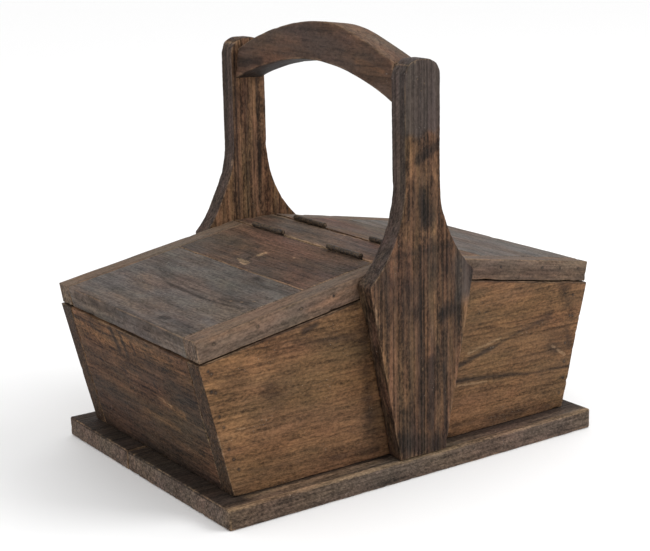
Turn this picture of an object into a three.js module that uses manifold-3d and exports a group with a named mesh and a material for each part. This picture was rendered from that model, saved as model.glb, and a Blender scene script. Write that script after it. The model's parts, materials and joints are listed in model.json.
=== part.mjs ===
// Kindling box: a splay-ended board box on a plinth, with two hinged roof-like lids
// and an arched carrying handle between two shaped uprights.
// Millimetres. +X runs along the box, -Y is the front, +Z is up.
// The origin is on the floor, under the middle of the box.
import * as THREE from 'three';
import { mergeVertices } from 'three/addons/utils/BufferGeometryUtils.js';
import Module from 'manifold-3d';

const wasm = await Module();
wasm.setup();

// ---------------------------------------------------------------- driving dimensions

const clearance = {
  nailed: 0.2,        // between faces that are nailed together
  lidOnWall: 0.5,     // under a closed lid
  lidSide: 0.8,       // each side of a lid, inside the line of the walls
  nailHole: 0.25,     // round a nail
  leafSeat: 0.1,      // between a hinge leaf and the edge it is fixed to
  leafToLeaf: 0.4,    // between the two leaves of a closed hinge
  knuckleSeat: 0.15,  // between a hinge barrel and the arrises it sits on
  knuckleSlit: 0.3,   // between neighbouring knuckles
  pin: 0.15,          // round a hinge pin
};

const base = {
  endMargin: 18,      // past the foot of each end wall
  sideMargin: 1.8,    // past the face of each upright
  thickness: 18.5,
  backBoardWidth: 115.5,
};

const box = {
  boardThickness: 19,
  bottomLength: 364,
  depth: 246,
  endHeight: 117.3,
  endSplay: THREE.MathUtils.degToRad(13.9),
};

const roof = {
  pitch: THREE.MathUtils.degToRad(9.7),
  boardThickness: 19,
  overhang: 1.5,      // past the top of each end wall
  upperShare: 0.3827, // of a lid's length that its upper board takes
  railWidth: 19,
};

const ridge = {
  halfWidth: 22.6,
  thickness: 19,
};

const upright = {
  thickness: 19,
  footHalfWidth: 25,
  shoulderHalfWidth: 56.5,
  shoulderZ: 177,
  neckHalfWidth: 18.2,
  neckSweepRadius: 112,
  topZ: 362,
  topCornerRadius: 15,
};

const handle = {
  width: 29.5,
  undersideDrop: 11.8,    // from the tops of the uprights to the crown of the underside
  undersideRadius: 317,
  crownDepth: 33.8,   // from the crown of the underside up to the crown of the top
  topCrownY: -13.6,   // the sawn top is highest a little in front of the middle
  crownRadius: 70,    // easing from the crown into the straight front part of the top
  backRadius: 296,    // of the top behind the crown
  frontFall: THREE.MathUtils.degToRad(13),
  roll: THREE.MathUtils.degToRad(7.5),    // the section leans, its left side higher
  rollDrop: 35,       // from the tops of the uprights to the line that the section is rolled about
  skew: THREE.MathUtils.degToRad(1.5),    // the front end is further left than the back end
  shiftX: -2.2,
};

const hinge = {
  length: 50,
  endMargin: 62,      // from the end of the ridge board to the middle of a hinge
  knuckles: 5,
  knuckleRadius: 2.4,
  pinRadius: 1.15,
  pinHeadRadius: 1.8,
  pinHeadLength: 0.8,
  leafThickness: 0.9,
  leafHeight: 15,
};

const nail = {
  length: 38,
  shankRadius: 0.9,
  headRadius: 1.7,
  headThickness: 0.8,
  pointLength: 3,
  railDepth: 7,                      // below the top of a lid rail
  leftRail: [0.294, 0.468, 0.694, 0.915],            // shares of the left lid's length, from the hinge
  rightRail: [0.189, 0.431, 0.699, 0.815, 0.941],    // the same on the right lid
  handleFront: [[-2, 12], [-6, 16], [1.5, 20], [-2, 25.5]],    // x, and drop from the upright's top
  handleBack: [[0, 17], [6, 20], [-4, 22.5], [1, 25.5]],       // the same on the back upright
};

const arcSteps = 10;
const roundSides = 12;
const nailSides = 6;

// ---------------------------------------------------------------- derived places

const boxBottomZ = base.thickness + clearance.nailed;
const baseLength = box.bottomLength + 2 * base.endMargin;
const boxHalfBottom = box.bottomLength / 2;
const endTopZ = boxBottomZ + box.endHeight;
const endTopX = boxHalfBottom + box.endHeight * Math.tan(box.endSplay);
const wallHalfDepth = box.depth / 2;
const roofFall = Math.tan(roof.pitch);

/** Height of the sloping top of the walls at a distance x from the middle. */
const wallTopZ = (x) => endTopZ + (endTopX - x) * roofFall;

const ridgeSeatZ = wallTopZ(ridge.halfWidth);
const ridgeBottomZ = ridgeSeatZ + clearance.nailed;

const leafStack = 2 * (clearance.leafSeat + hinge.leafThickness) + clearance.leafToLeaf;
const pivotX = ridge.halfWidth + leafStack / 2;
const lidEdgeX = ridge.halfWidth + leafStack;

/** Height of the closed lid's top surface at a distance x from the middle. */
const lidTopZ = (x) => (
  wallTopZ(x) + (clearance.lidOnWall + roof.boardThickness) / Math.cos(roof.pitch)
);

const lidLength = (endTopX + roof.overhang - lidEdgeX) / Math.cos(roof.pitch);
const lidHalfWidth = wallHalfDepth - clearance.lidSide;
const knuckleRise = Math.sqrt((hinge.knuckleRadius + clearance.knuckleSeat) ** 2 - (leafStack / 2) ** 2);
const pivotZ = lidTopZ(lidEdgeX) + knuckleRise;

const uprightInnerY = wallHalfDepth + clearance.nailed;
const uprightOuterY = uprightInnerY + upright.thickness;
const baseHalfDepth = uprightOuterY + base.sideMargin;
const hingeY = wallHalfDepth - hinge.endMargin;
const undersideCrownZ = upright.topZ - handle.undersideDrop;

// ---------------------------------------------------------------- materials

/** A matt surface in one colour. */
function surface(color, roughness, metalness = 0) {
  return new THREE.MeshStandardMaterial({ color, roughness, metalness });
}

const darkBrownWood = surface(0x3f2d21, 0.75);
const warmBrownWood = surface(0x5a3b22, 0.72);
const redBrownWood = surface(0x4e352a, 0.75);
const greyBrownWood = surface(0x4a423c, 0.8);
const stripedWood = surface(0x4a3424, 0.74);
const blackenedSteel = surface(0x231c18, 0.55, 0.8);

// ---------------------------------------------------------------- solids

/** The closed body of a geometry, ready to be cut or joined. */
function toSolid(geometry) {
  const bare = geometry.clone();
  bare.deleteAttribute('normal');
  bare.deleteAttribute('uv');
  const merged = mergeVertices(bare);
  const corners = merged.index.array;
  const triangles = [];
  for (let i = 0; i < corners.length; i += 3) {
    const [a, b, c] = corners.slice(i, i + 3);
    if (a !== b && b !== c && c !== a) triangles.push(a, b, c);
  }
  return new wasm.Manifold(new wasm.Mesh({
    numProp: 3,
    vertProperties: new Float32Array(merged.attributes.position.array),
    triVerts: new Uint32Array(triangles),
  }));
}

/** The geometry of a solid, with flat-shaded faces. */
function toGeometry(solid) {
  const mesh = solid.getMesh();
  const geometry = new THREE.BufferGeometry();
  geometry.setAttribute('position', new THREE.BufferAttribute(mesh.vertProperties, mesh.numProp));
  geometry.setIndex(new THREE.BufferAttribute(mesh.triVerts, 1));
  geometry.computeVertexNormals();
  return geometry;
}

/** A geometry with a list of others cut out of it. */
function cut(geometry, cutters) {
  const solid = cutters.reduce((rest, cutter) => rest.subtract(toSolid(cutter)), toSolid(geometry));
  return toGeometry(solid);
}

/** An outline drawn in x and z, carried along Y over a depth centred on y = 0. */
function alongY(shape, depth) {
  const geometry = new THREE.ExtrudeGeometry(shape, {
    depth, bevelEnabled: false, curveSegments: arcSteps,
  });
  return geometry.rotateX(Math.PI / 2).translate(0, depth / 2, 0);
}

/** An outline drawn in y and z, carried along X over a width centred on x = 0. */
function alongX(shape, width) {
  const geometry = new THREE.ExtrudeGeometry(shape, {
    depth: width, bevelEnabled: false, curveSegments: arcSteps,
  });
  const turn = new THREE.Matrix4().makeBasis(
    new THREE.Vector3(0, 1, 0),
    new THREE.Vector3(0, 0, 1),
    new THREE.Vector3(1, 0, 0),
  );
  return geometry.applyMatrix4(turn).translate(-width / 2, 0, 0);
}

/** A straight-sided outline from its corners. */
function outline(corners) {
  return new THREE.Shape(corners.map(([x, z]) => new THREE.Vector2(x, z)));
}

/** Adds a named piece to a group at a place in that group's own frame. */
function addPiece(group, name, geometry, material, position = [0, 0, 0]) {
  const piece = new THREE.Mesh(geometry, material);
  piece.name = name;
  piece.position.set(...position);
  group.add(piece);
  return piece;
}

// ---------------------------------------------------------------- nails

/**
 * A nail along +Y with its head's face at y = 0. With an allowance it is the cutter for the
 * nail's hole: larger all round, and starting outside the wood.
 */
function nailGeometry(allowance = 0) {
  const headR = nail.headRadius + allowance;
  const shankR = nail.shankRadius + allowance;
  const underHead = nail.headThickness + allowance;
  const end = nail.length + allowance;
  const face = allowance > 0 ? -nail.headThickness : 0;
  const profile = [
    [0, face], [headR, face], [headR, underHead],
    [shankR, underHead + headR - shankR], [shankR, end - nail.pointLength], [0, end],
  ];
  return new THREE.LatheGeometry(profile.map(([r, y]) => new THREE.Vector2(r, y)), nailSides);
}

/** Turns a nail's geometry to be driven along +Y or -Y (drive is 1 or -1) at a place. */
function placeNail(geometry, [x, y, z], drive) {
  if (drive < 0) geometry.rotateX(Math.PI);
  return geometry.translate(x, y, z);
}

/** A piece's geometry with the holes of the nails that pass through it. */
function drilled(geometry, position, nails) {
  const cutters = nails.map(({ at, drive }) => {
    const hole = placeNail(nailGeometry(clearance.nailHole), at, drive);
    return hole.translate(...position.map((value) => -value));
  });
  return cut(geometry, cutters);
}

/** Adds a row of nails, named and numbered. */
function addNails(group, name, nails) {
  nails.forEach(({ at, drive }, i) => {
    const geometry = nailGeometry();
    if (drive < 0) geometry.rotateX(Math.PI);
    addPiece(group, `${name}_nail_${i + 1}`, geometry, blackenedSteel, at);
  });
}

// ---------------------------------------------------------------- base

/** Two boards side by side that the box stands on. */
function addBase(group) {
  const backWidth = base.backBoardWidth;
  const frontWidth = 2 * baseHalfDepth - backWidth - clearance.nailed;
  const boards = [
    ['base_board_back', backWidth, baseHalfDepth - backWidth / 2],
    ['base_board_front', frontWidth, frontWidth / 2 - baseHalfDepth],
  ];
  for (const [name, width, y] of boards) {
    const geometry = new THREE.BoxGeometry(baseLength, width, base.thickness);
    addPiece(group, name, geometry, darkBrownWood, [0, y, base.thickness / 2]);
  }
}

// ---------------------------------------------------------------- box walls

/** The long walls, whose tops carry the ridge and slope under the lids. */
function addLongWalls(group) {
  const half = [
    [boxHalfBottom, boxBottomZ],
    [endTopX, endTopZ],
    [ridge.halfWidth, ridgeSeatZ],
  ];
  const mirrored = half.map(([x, z]) => [-x, z]).reverse();
  const geometry = alongY(outline([...half, ...mirrored]), box.boardThickness);
  const y = wallHalfDepth - box.boardThickness / 2;
  addPiece(group, 'front_wall', geometry, warmBrownWood, [0, -y, 0]);
  addPiece(group, 'back_wall', geometry.clone(), warmBrownWood, [0, y, 0]);
}

/** The leaning end walls, held between the long walls. */
function addEndWalls(group) {
  const run = box.boardThickness / Math.cos(box.endSplay);
  const lean = Math.tan(box.endSplay);
  const innerTopRise = (run * roofFall) / (1 + lean * roofFall);
  const innerTopZ = endTopZ + innerTopRise;
  const right = [
    [boxHalfBottom - run, boxBottomZ],
    [boxHalfBottom, boxBottomZ],
    [endTopX, endTopZ],
    [endTopX - run + innerTopRise * lean, innerTopZ],
  ];
  const depth = 2 * (wallHalfDepth - box.boardThickness - clearance.nailed);
  const left = right.map(([x, z]) => [-x, z]).reverse();
  addPiece(group, 'right_end_wall', alongY(outline(right), depth), redBrownWood);
  addPiece(group, 'left_end_wall', alongY(outline(left), depth), redBrownWood);
}

/** The fixed strip along the top that both lids hinge on. */
function addRidge(group) {
  const geometry = new THREE.BoxGeometry(2 * ridge.halfWidth, box.depth, ridge.thickness);
  addPiece(group, 'ridge_board', geometry, redBrownWood, [0, 0, ridgeBottomZ + ridge.thickness / 2]);
}

// ---------------------------------------------------------------- lids

/**
 * One lid: two boards across and a rail down each side, nailed through the rails.
 * In the lid's own frame +X runs down the slope from the hinge edge and z = 0 is the top.
 */
function addLid(group, side, turn, nailShares) {
  const lid = new THREE.Group();
  lid.position.set(Math.cos(turn) * lidEdgeX, 0, lidTopZ(lidEdgeX));
  lid.rotation.set(0, roof.pitch, turn, 'ZYX');
  group.add(lid);

  const thickness = roof.boardThickness;
  const plumbCut = thickness * roofFall;
  const boardWidth = 2 * (lidHalfWidth - roof.railWidth - clearance.nailed);
  const railY = lidHalfWidth - roof.railWidth / 2;
  const seam = roof.upperShare * lidLength;
  const frontSign = -Math.cos(turn);

  const boardOutline = (topStart, underStart, end) => outline(
    [[underStart, -thickness], [end, -thickness], [end, 0], [topStart, 0]],
  );
  const plumbEnded = (end) => boardOutline(0, plumbCut, end);
  const lowerStart = seam + clearance.nailed;
  const lowerOutline = boardOutline(lowerStart, lowerStart, lidLength);

  const nailsOn = (ySign) => nailShares.map((share) => ({
    at: [share * lidLength, ySign * lidHalfWidth, -nail.railDepth],
    drive: -ySign,
  }));
  const all = [...nailsOn(1), ...nailsOn(-1)];
  const inUpper = all.filter(({ at }) => at[0] < seam);
  const inLower = all.filter(({ at }) => at[0] >= seam);
  const middle = [0, 0, 0];

  addPiece(lid, `${side}_lid_upper_board`,
    drilled(alongY(plumbEnded(seam), boardWidth), middle, inUpper), redBrownWood);
  addPiece(lid, `${side}_lid_lower_board`,
    drilled(alongY(lowerOutline, boardWidth), middle, inLower), greyBrownWood);

  for (const [edge, ySign] of [['front', frontSign], ['back', -frontSign]]) {
    const place = [0, ySign * railY, 0];
    const nails = nailsOn(ySign);
    const name = `${side}_lid_${edge}_rail`;
    const blank = alongY(plumbEnded(lidLength), roof.railWidth);
    addPiece(lid, name, drilled(blank, place, nails), greyBrownWood, place);
    addNails(lid, name, nails);
  }
}

// ---------------------------------------------------------------- hinges

/** A round bar along Y between two places. */
function bar(radius, fromY, toY) {
  const geometry = new THREE.CylinderGeometry(radius, radius, toY - fromY, roundSides);
  return geometry.translate(0, (fromY + toY) / 2, 0);
}

/** The ends of one knuckle along the barrel. */
function knuckleSpan(i) {
  const pitch = hinge.length / hinge.knuckles;
  const start = -hinge.length / 2 + i * pitch;
  return [start + clearance.knuckleSlit / 2, start + pitch - clearance.knuckleSlit / 2];
}

/**
 * One leaf of a hinge, about the pin's axis: an upright plate on the side given by
 * xSign, with a ring round the pin for every second knuckle.
 */
function leafGeometry(xSign, firstKnuckle) {
  const boreRadius = hinge.pinRadius + clearance.pin;
  const plateX = xSign * (clearance.leafToLeaf + hinge.leafThickness) / 2;
  const plateTop = -(hinge.knuckleRadius + clearance.knuckleSlit);
  const plateBottom = -(knuckleRise + hinge.leafHeight);
  const tabTop = -(boreRadius + hinge.knuckleRadius) / 2;

  const block = (fromY, toY, fromZ, toZ) => toSolid(
    new THREE.BoxGeometry(hinge.leafThickness, toY - fromY, toZ - fromZ)
      .translate(plateX, (fromY + toY) / 2, (fromZ + toZ) / 2),
  );

  let leaf = block(-hinge.length / 2, hinge.length / 2, plateBottom, plateTop);
  for (let i = firstKnuckle; i < hinge.knuckles; i += 2) {
    const [fromY, toY] = knuckleSpan(i);
    leaf = leaf.add(block(fromY, toY, plateTop - hinge.leafThickness, tabTop));
    leaf = leaf.add(toSolid(bar(hinge.knuckleRadius, fromY, toY)));
  }
  return toGeometry(leaf.subtract(toSolid(bar(boreRadius, -hinge.length, hinge.length))));
}

/** A hinge pin with a small head at each end, just outside the barrel. */
function pinGeometry() {
  const inner = hinge.length / 2 + clearance.pin;
  const outer = inner + hinge.pinHeadLength;
  const profile = [
    [0, -outer], [hinge.pinHeadRadius, -outer], [hinge.pinHeadRadius, -inner], [hinge.pinRadius, -inner],
    [hinge.pinRadius, inner], [hinge.pinHeadRadius, inner], [hinge.pinHeadRadius, outer], [0, outer],
  ];
  return new THREE.LatheGeometry(profile.map(([r, y]) => new THREE.Vector2(r, y)), roundSides);
}

/** Two butt hinges for each lid, their barrels proud of the seam. */
function addHinges(group) {
  for (const [side, xSign] of [['left', -1], ['right', 1]]) {
    for (const [edge, ySign] of [['front', -1], ['back', 1]]) {
      const name = `${side}_${edge}_hinge`;
      const place = [xSign * pivotX, ySign * hingeY, pivotZ];
      addPiece(group, `${name}_fixed_leaf`, leafGeometry(-xSign, 0), blackenedSteel, place);
      addPiece(group, `${name}_lid_leaf`, leafGeometry(xSign, 1), blackenedSteel, place);
      addPiece(group, `${name}_pin`, pinGeometry(), blackenedSteel, place);
    }
  }
}

// ---------------------------------------------------------------- uprights and handle

/** The face of an upright: tapered foot, shoulders, swept neck and eased top. */
function uprightOutline() {
  const { footHalfWidth, shoulderHalfWidth, shoulderZ, neckHalfWidth, neckSweepRadius } = upright;
  const sweepX = neckHalfWidth + neckSweepRadius;
  const sweepZ = shoulderZ + Math.sqrt(neckSweepRadius ** 2 - (sweepX - shoulderHalfWidth) ** 2);
  const shoulderAngle = Math.atan2(shoulderZ - sweepZ, shoulderHalfWidth - sweepX);
  const cornerX = neckHalfWidth - upright.topCornerRadius;
  const cornerZ = upright.topZ - upright.topCornerRadius;

  const face = new THREE.Shape();
  face.moveTo(-footHalfWidth, boxBottomZ);
  face.lineTo(footHalfWidth, boxBottomZ);
  face.lineTo(shoulderHalfWidth, shoulderZ);
  face.absarc(sweepX, sweepZ, neckSweepRadius, shoulderAngle, -Math.PI, true);
  face.absarc(cornerX, cornerZ, upright.topCornerRadius, 0, Math.PI / 2, false);
  face.absarc(-cornerX, cornerZ, upright.topCornerRadius, Math.PI / 2, Math.PI, false);
  face.absarc(-sweepX, sweepZ, neckSweepRadius, 0, -Math.PI - shoulderAngle, true);
  face.lineTo(-footHalfWidth, boxBottomZ);
  return face;
}

/** The side of the handle: an arched underside, a top falling both ways, and square ends. */
function handleOutline() {
  const halfLength = uprightInnerY - clearance.nailed;
  const { undersideRadius, topCrownY, crownRadius, backRadius, frontFall } = handle;
  const topCrownZ = undersideCrownZ + handle.crownDepth;
  const undersideZ = undersideCrownZ - undersideRadius;
  const undersideAngle = Math.acos(halfLength / undersideRadius);
  const backAngle = Math.acos((halfLength - topCrownY) / backRadius);
  const easedLength = crownRadius * Math.sin(frontFall);
  const easedDrop = crownRadius * (1 - Math.cos(frontFall));
  const straightLength = halfLength + topCrownY - easedLength;
  const frontZ = topCrownZ - easedDrop - straightLength * Math.tan(frontFall);
  const level = Math.PI / 2;

  const side = new THREE.Shape();
  side.absarc(0, undersideZ, undersideRadius, Math.PI - undersideAngle, undersideAngle, true);
  side.absarc(topCrownY, topCrownZ - backRadius, backRadius, backAngle, level, false);
  side.absarc(topCrownY, topCrownZ - crownRadius, crownRadius, level, level + frontFall, false);
  side.lineTo(-halfLength, frontZ);
  side.closePath();
  return side;
}

/** The handle: its side carried across its width, then rolled and set a little askew. */
function handleGeometry() {
  const geometry = alongX(handleOutline(), handle.width);
  const rollZ = upright.topZ - handle.rollDrop;
  geometry.translate(0, 0, -rollZ);
  geometry.rotateY(handle.roll);
  geometry.translate(handle.shiftX, 0, rollZ);
  const askew = new THREE.Matrix4().makeShear(0, 0, Math.tan(handle.skew), 0, 0, 0);
  return geometry.applyMatrix4(askew);
}

/** Both uprights and the handle nailed between them. */
function addCarrier(group) {
  const uprightY = uprightInnerY + upright.thickness / 2;
  const nailsAt = (places, ySign) => places.map(([x, drop]) => ({
    at: [x, ySign * uprightOuterY, upright.topZ - drop],
    drive: -ySign,
  }));
  const sides = [
    ['front', -1, nailsAt(nail.handleFront, -1)],
    ['back', 1, nailsAt(nail.handleBack, 1)],
  ];
  for (const [edge, ySign, nails] of sides) {
    const place = [0, ySign * uprightY, 0];
    const blank = alongY(uprightOutline(), upright.thickness);
    addPiece(group, `${edge}_upright`, drilled(blank, place, nails), stripedWood, place);
    addNails(group, `handle_${edge}`, nails);
  }
  const allNails = sides.flatMap(([, , nails]) => nails);
  addPiece(group, 'handle', drilled(handleGeometry(), [0, 0, 0], allNails), redBrownWood);
}

// ---------------------------------------------------------------- assembly

const kindlingBox = new THREE.Group();
addBase(kindlingBox);
addLongWalls(kindlingBox);
addEndWalls(kindlingBox);
addRidge(kindlingBox);
addLid(kindlingBox, 'right', 0, nail.rightRail);
addLid(kindlingBox, 'left', Math.PI, nail.leftRail);
addHinges(kindlingBox);
addCarrier(kindlingBox);

export default kindlingBox;
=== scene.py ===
"""The finished look of a wooden kindling box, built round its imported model.

A Blender add-on, run as a script. Each board is a block worked out on grids with numpy: its arrises are
rounded and worn, it is bent, tapered or tilted to its shape, and it keeps the figure of the plank that it
was sawn from. Metres. +X runs along the box, -Y is the front and +Z is up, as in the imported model.
"""

import json
import math

import bpy
import numpy as np
from bpy.props import FloatProperty, FloatVectorProperty, IntProperty, PointerProperty
from mathutils import Matrix, Vector


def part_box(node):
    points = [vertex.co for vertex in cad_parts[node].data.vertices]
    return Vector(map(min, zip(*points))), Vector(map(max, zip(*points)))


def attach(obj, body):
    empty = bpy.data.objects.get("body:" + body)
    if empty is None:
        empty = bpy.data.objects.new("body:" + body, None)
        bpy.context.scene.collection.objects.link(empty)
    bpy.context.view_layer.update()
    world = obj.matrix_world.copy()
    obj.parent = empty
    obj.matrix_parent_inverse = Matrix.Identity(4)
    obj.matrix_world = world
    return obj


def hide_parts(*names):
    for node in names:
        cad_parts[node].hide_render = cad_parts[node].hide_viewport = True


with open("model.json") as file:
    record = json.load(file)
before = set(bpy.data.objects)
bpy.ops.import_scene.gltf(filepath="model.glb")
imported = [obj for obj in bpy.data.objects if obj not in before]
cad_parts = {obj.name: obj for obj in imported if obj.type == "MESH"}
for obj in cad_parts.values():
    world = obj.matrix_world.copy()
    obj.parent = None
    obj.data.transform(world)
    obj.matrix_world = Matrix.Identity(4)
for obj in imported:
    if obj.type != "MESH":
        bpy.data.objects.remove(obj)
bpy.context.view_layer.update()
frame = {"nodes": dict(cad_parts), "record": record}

bl_info = {
    "name": "Kindling Box",
    "version": (1, 0, 0),
    "blender": (4, 5, 0),
    "location": "3D View > Sidebar > Kindling Box",
    "description": "Builds a worn wooden kindling box with two hinged lids and a carrying handle",
    "category": "Add Mesh",
}

ALONG, ACROSS, UP = 0, 1, 2
FROM_ABOVE, FROM_FRONT, FROM_END = (ALONG, ACROSS), (ALONG, UP), (ACROSS, UP)
SIDES = {"left": -1, "right": 1}
EDGES = {"front": -1, "back": 1}
MILLIMETRE = 0.001
TINY = 1e-12
POINT_VALUES = ("arris", "end", "stain", "bare", "warm", "grey")
SKIN = 0.002                        # depth to which marks on a board's top reach down its sides


# ---------------------------------------------------------------- sizes and colours

def low(node):
    """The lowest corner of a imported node's box."""
    return np.array(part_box(node)[0])


def high(node):
    """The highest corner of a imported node's box."""
    return np.array(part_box(node)[1])


def middle(node):
    """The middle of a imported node's box."""
    return (low(node) + high(node)) / 2


def body_of(node):
    """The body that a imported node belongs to."""
    bodies = frame["record"]["behaviour"]["bodies"]
    return next(name for name, members in bodies.items() if node in members)


def nail_nodes(prefix):
    """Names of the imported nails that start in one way, in order."""
    return sorted(name for name in frame["nodes"] if name.startswith(prefix) and "_nail_" in name)


def length(name, description, default):
    """A length that a user can change, in metres."""
    return FloatProperty(name=name, description=description, default=default, min=0.0, unit="LENGTH")


def signed_length(name, description, default):
    """A length that may be less than nothing."""
    return FloatProperty(name=name, description=description, default=default, unit="LENGTH")


def angle(name, description, degrees):
    """An angle that a user can change."""
    return FloatProperty(name=name, description=description, default=math.radians(degrees), unit="ROTATION")


def colour(name, description, rgb):
    """A colour that a user can change, given as three display values of 0 to 255."""
    linear = [((v / 255 + 0.055) / 1.055) ** 2.4 for v in rgb]
    return FloatVectorProperty(
        name=name, description=description, default=linear, size=3, min=0.0, max=1.0, subtype="COLOR",
    )


class KindlingBoxSizes(bpy.types.PropertyGroup):
    """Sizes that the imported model's boxes don't give."""

    grid: length("Grid", "Distance between neighbouring points of a board", 0.0013)
    base_grid: length("Base grid", "Distance between neighbouring points of a base board", 0.0014)
    arris: length("Arris", "Radius of the boards' arrises", 0.0008)
    base_arris: length("Base arris", "Rounding of the base's arrises", 0.0017)
    soft_arris: length("Soft arris", "Radius of the uprights' arrises", 0.0011)
    handle_arris: length("Handle arris", "Radius of the handle's arrises", 0.0013)
    wear: length("Wear", "How far the arrises are worn in at the most", 0.0003)
    arris_steps: IntProperty(name="Arris steps", description="Faces across half an arris", default=3, min=1)
    pitch: angle("Pitch", "Slope of the lids", 9.7)
    splay: angle("Splay", "Lean of the end walls", 13.9)
    foot: length("Foot", "Half the width of an upright at its foot", 0.025)
    neck: length("Neck", "Half the width of an upright above its sweep", 0.0188)
    shoulder_height: length("Shoulder height", "Height of an upright's shoulders", 0.177)
    sweep: length("Sweep", "Radius from the shoulders into the neck", 0.112)
    top_corner: length("Top corner", "Radius of an upright's top corners", 0.015)
    handle_width: length("Handle width", "Width of the handle", 0.0295)
    underside_drop: length("Underside drop", "From the uprights' tops down to the crown of the arch", 0.0127)
    underside_radius: length("Underside radius", "Radius of the handle's arch", 0.317)
    crown_depth: length("Crown depth", "Depth of the handle at its crown", 0.0350)
    crown_y: signed_length("Crown place", "Where the handle's top is highest", -0.0175)
    front_drop: length("Front drop", "Fall of the handle's top from its crown to its front end", 0.0270)
    front_bend: FloatProperty(
        name="Front bend", description="How gently the handle's top starts to fall in front: 0 is straight",
        default=0.7,
    )
    back_radius: length("Back radius", "Radius of the handle's top behind its crown", 0.312)
    roll: angle("Roll", "Lean of the handle's section", 7.5)
    front_roll: angle("Front roll", "Lean of the handle's section at its front end", 3.2)
    roll_drop: length("Roll drop", "From the uprights' tops down to the line of the lean", 0.035)
    back_hang: length("Back hang", "How far the handle's back end hangs down on its left", 0.0025)
    skew: angle("Skew", "How far the handle is set askew", 0.3)
    handle_shift: signed_length("Handle shift", "How far the handle is off the middle", -0.0022)
    nail_head: length("Nail head", "Radius of the head of a nail in a rail or the handle", 0.0015)
    wall_nail_head: length("Wall nail head", "Radius of the head of a nail in a long wall", 0.0010)
    nail_length: length("Nail length", "Length of a nail", 0.030)
    pin_head: length("Pin head", "Radius of the heads of a hinge's pin", 0.0016)
    pin_shank: length("Pin shank", "Radius of a hinge's pin", 0.00115)
    knuckle: length("Knuckle", "Radius of a hinge's barrel", 0.0024)
    bore: length("Bore", "Radius of the bore through a hinge's barrel", 0.0013)
    leaf: length("Leaf", "Thickness of a hinge's leaves", 0.0009)
    screw_head: length("Screw head", "Radius of the head of a hinge's screw", 0.0026)
    screw_slot: length("Screw slot", "Width of the slot in a screw's head", 0.0007)
    screw_length: length("Screw length", "Length of a hinge's screw", 0.014)
    screw_proud: length("Screw proud", "Height of a screw's head above its leaf", 0.00012)
    floor: length("Floor", "Half the width of the floor", 12.0)


class KindlingBoxColours(bpy.types.PropertyGroup):
    """Colours of the iron, the floor and what every wood has in common. Each wood adds its own three."""

    worn: colour("Worn", "Bare wood where arrises are worn", (154, 126, 98))
    # this dark colour serves old stain and also the painted shade at the walls' feet, under the lids and
    # under the handle
    soot_and_shade: colour("Soot", "Old stain in the wood", (50, 41, 36))
    grey: colour("Grey", "Wood greyed by smoke and weather", (70, 61, 57))
    dust: colour("Dust", "Pale dust in the pores", (172, 164, 154))
    iron: colour("Iron", "Blackened hinges and nails", (32, 26, 23))
    rust: colour("Rust", "Rust on the hinges and nails", (92, 75, 58))
    floor: colour("Floor", "Floor under the box", (252, 252, 252))


TONES = {"deep": "Dark figure", "body": "Main colour", "glow": "Warm parts"}
WOOD_TONES = {
    "wall": ("the long walls", (50, 34, 24), (99, 74, 52), (128, 94, 64)),
    "end": ("the end walls", (36, 26, 20), (66, 49, 38), (116, 84, 58)),
    "lid": ("the lower lid boards", (44, 41, 42), (98, 90, 84), (110, 91, 76)),
    "rail": ("the lids' rails", (58, 46, 37), (107, 91, 78), (126, 97, 76)),
    "upper": ("the upper lid boards and ridge", (46, 37, 34), (85, 70, 60), (107, 80, 62)),
    "upright": ("the uprights", (34, 23, 17), (71, 53, 41), (116, 86, 62)),
    "handle": ("the handle", (42, 32, 27), (76, 60, 52), (108, 78, 58)),
    "base": ("the base", (36, 29, 25), (104, 88, 77), (122, 98, 78)),
}


def add_tones(settings):
    """Adds each wood's three colours to a group of settings."""
    for kind, (pieces, *values) in WOOD_TONES.items():
        for (tone, what), rgb in zip(TONES.items(), values):
            name = f"{kind.capitalize()} {tone}"
            settings.__annotations__[f"{kind}_{tone}"] = colour(name, f"{what} of {pieces}", rgb)


add_tones(KindlingBoxColours)


def sizes():
    """The sizes in use."""
    return bpy.context.scene.kindling_box_sizes


def colours():
    """The colours in use."""
    return bpy.context.scene.kindling_box_colours


# ---------------------------------------------------------------- blocks of wood

WAVES = 9                           # sine waves in a ripple
WEAR_WAVE = 0.035                   # wavelength of the arrises' wear
FLAT_WAVE = 0.05                    # wavelength at which the flats rise and fall
FLAT_SINK = 0.0001                  # half the depth to which they fall
CHIP_REACH = (0.0012, 0.0028)       # least and greatest reach of a chip in an arris
CHIP_STRETCH = (1.0, 3.2)           # how much longer it is along the grain


def side_places(side, radius, spacing, steps):
    """Places across one side of a block, from -side / 2 to side / 2.

    The flat between the arrises is divided evenly. In an arris the places are radius * tan(angle) past the
    flat, for equal angles up to 45 degrees, so that the rounded points come out evenly spaced.
    """
    flat = side / 2 - radius
    count = max(2, round(2 * flat / spacing))
    turns = np.linspace(0, math.pi / 4, steps + 1)[1:]
    zone = flat + radius * np.tan(turns)
    return np.concatenate([-zone[::-1], np.linspace(-flat, flat, count + 1), zone])


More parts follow.
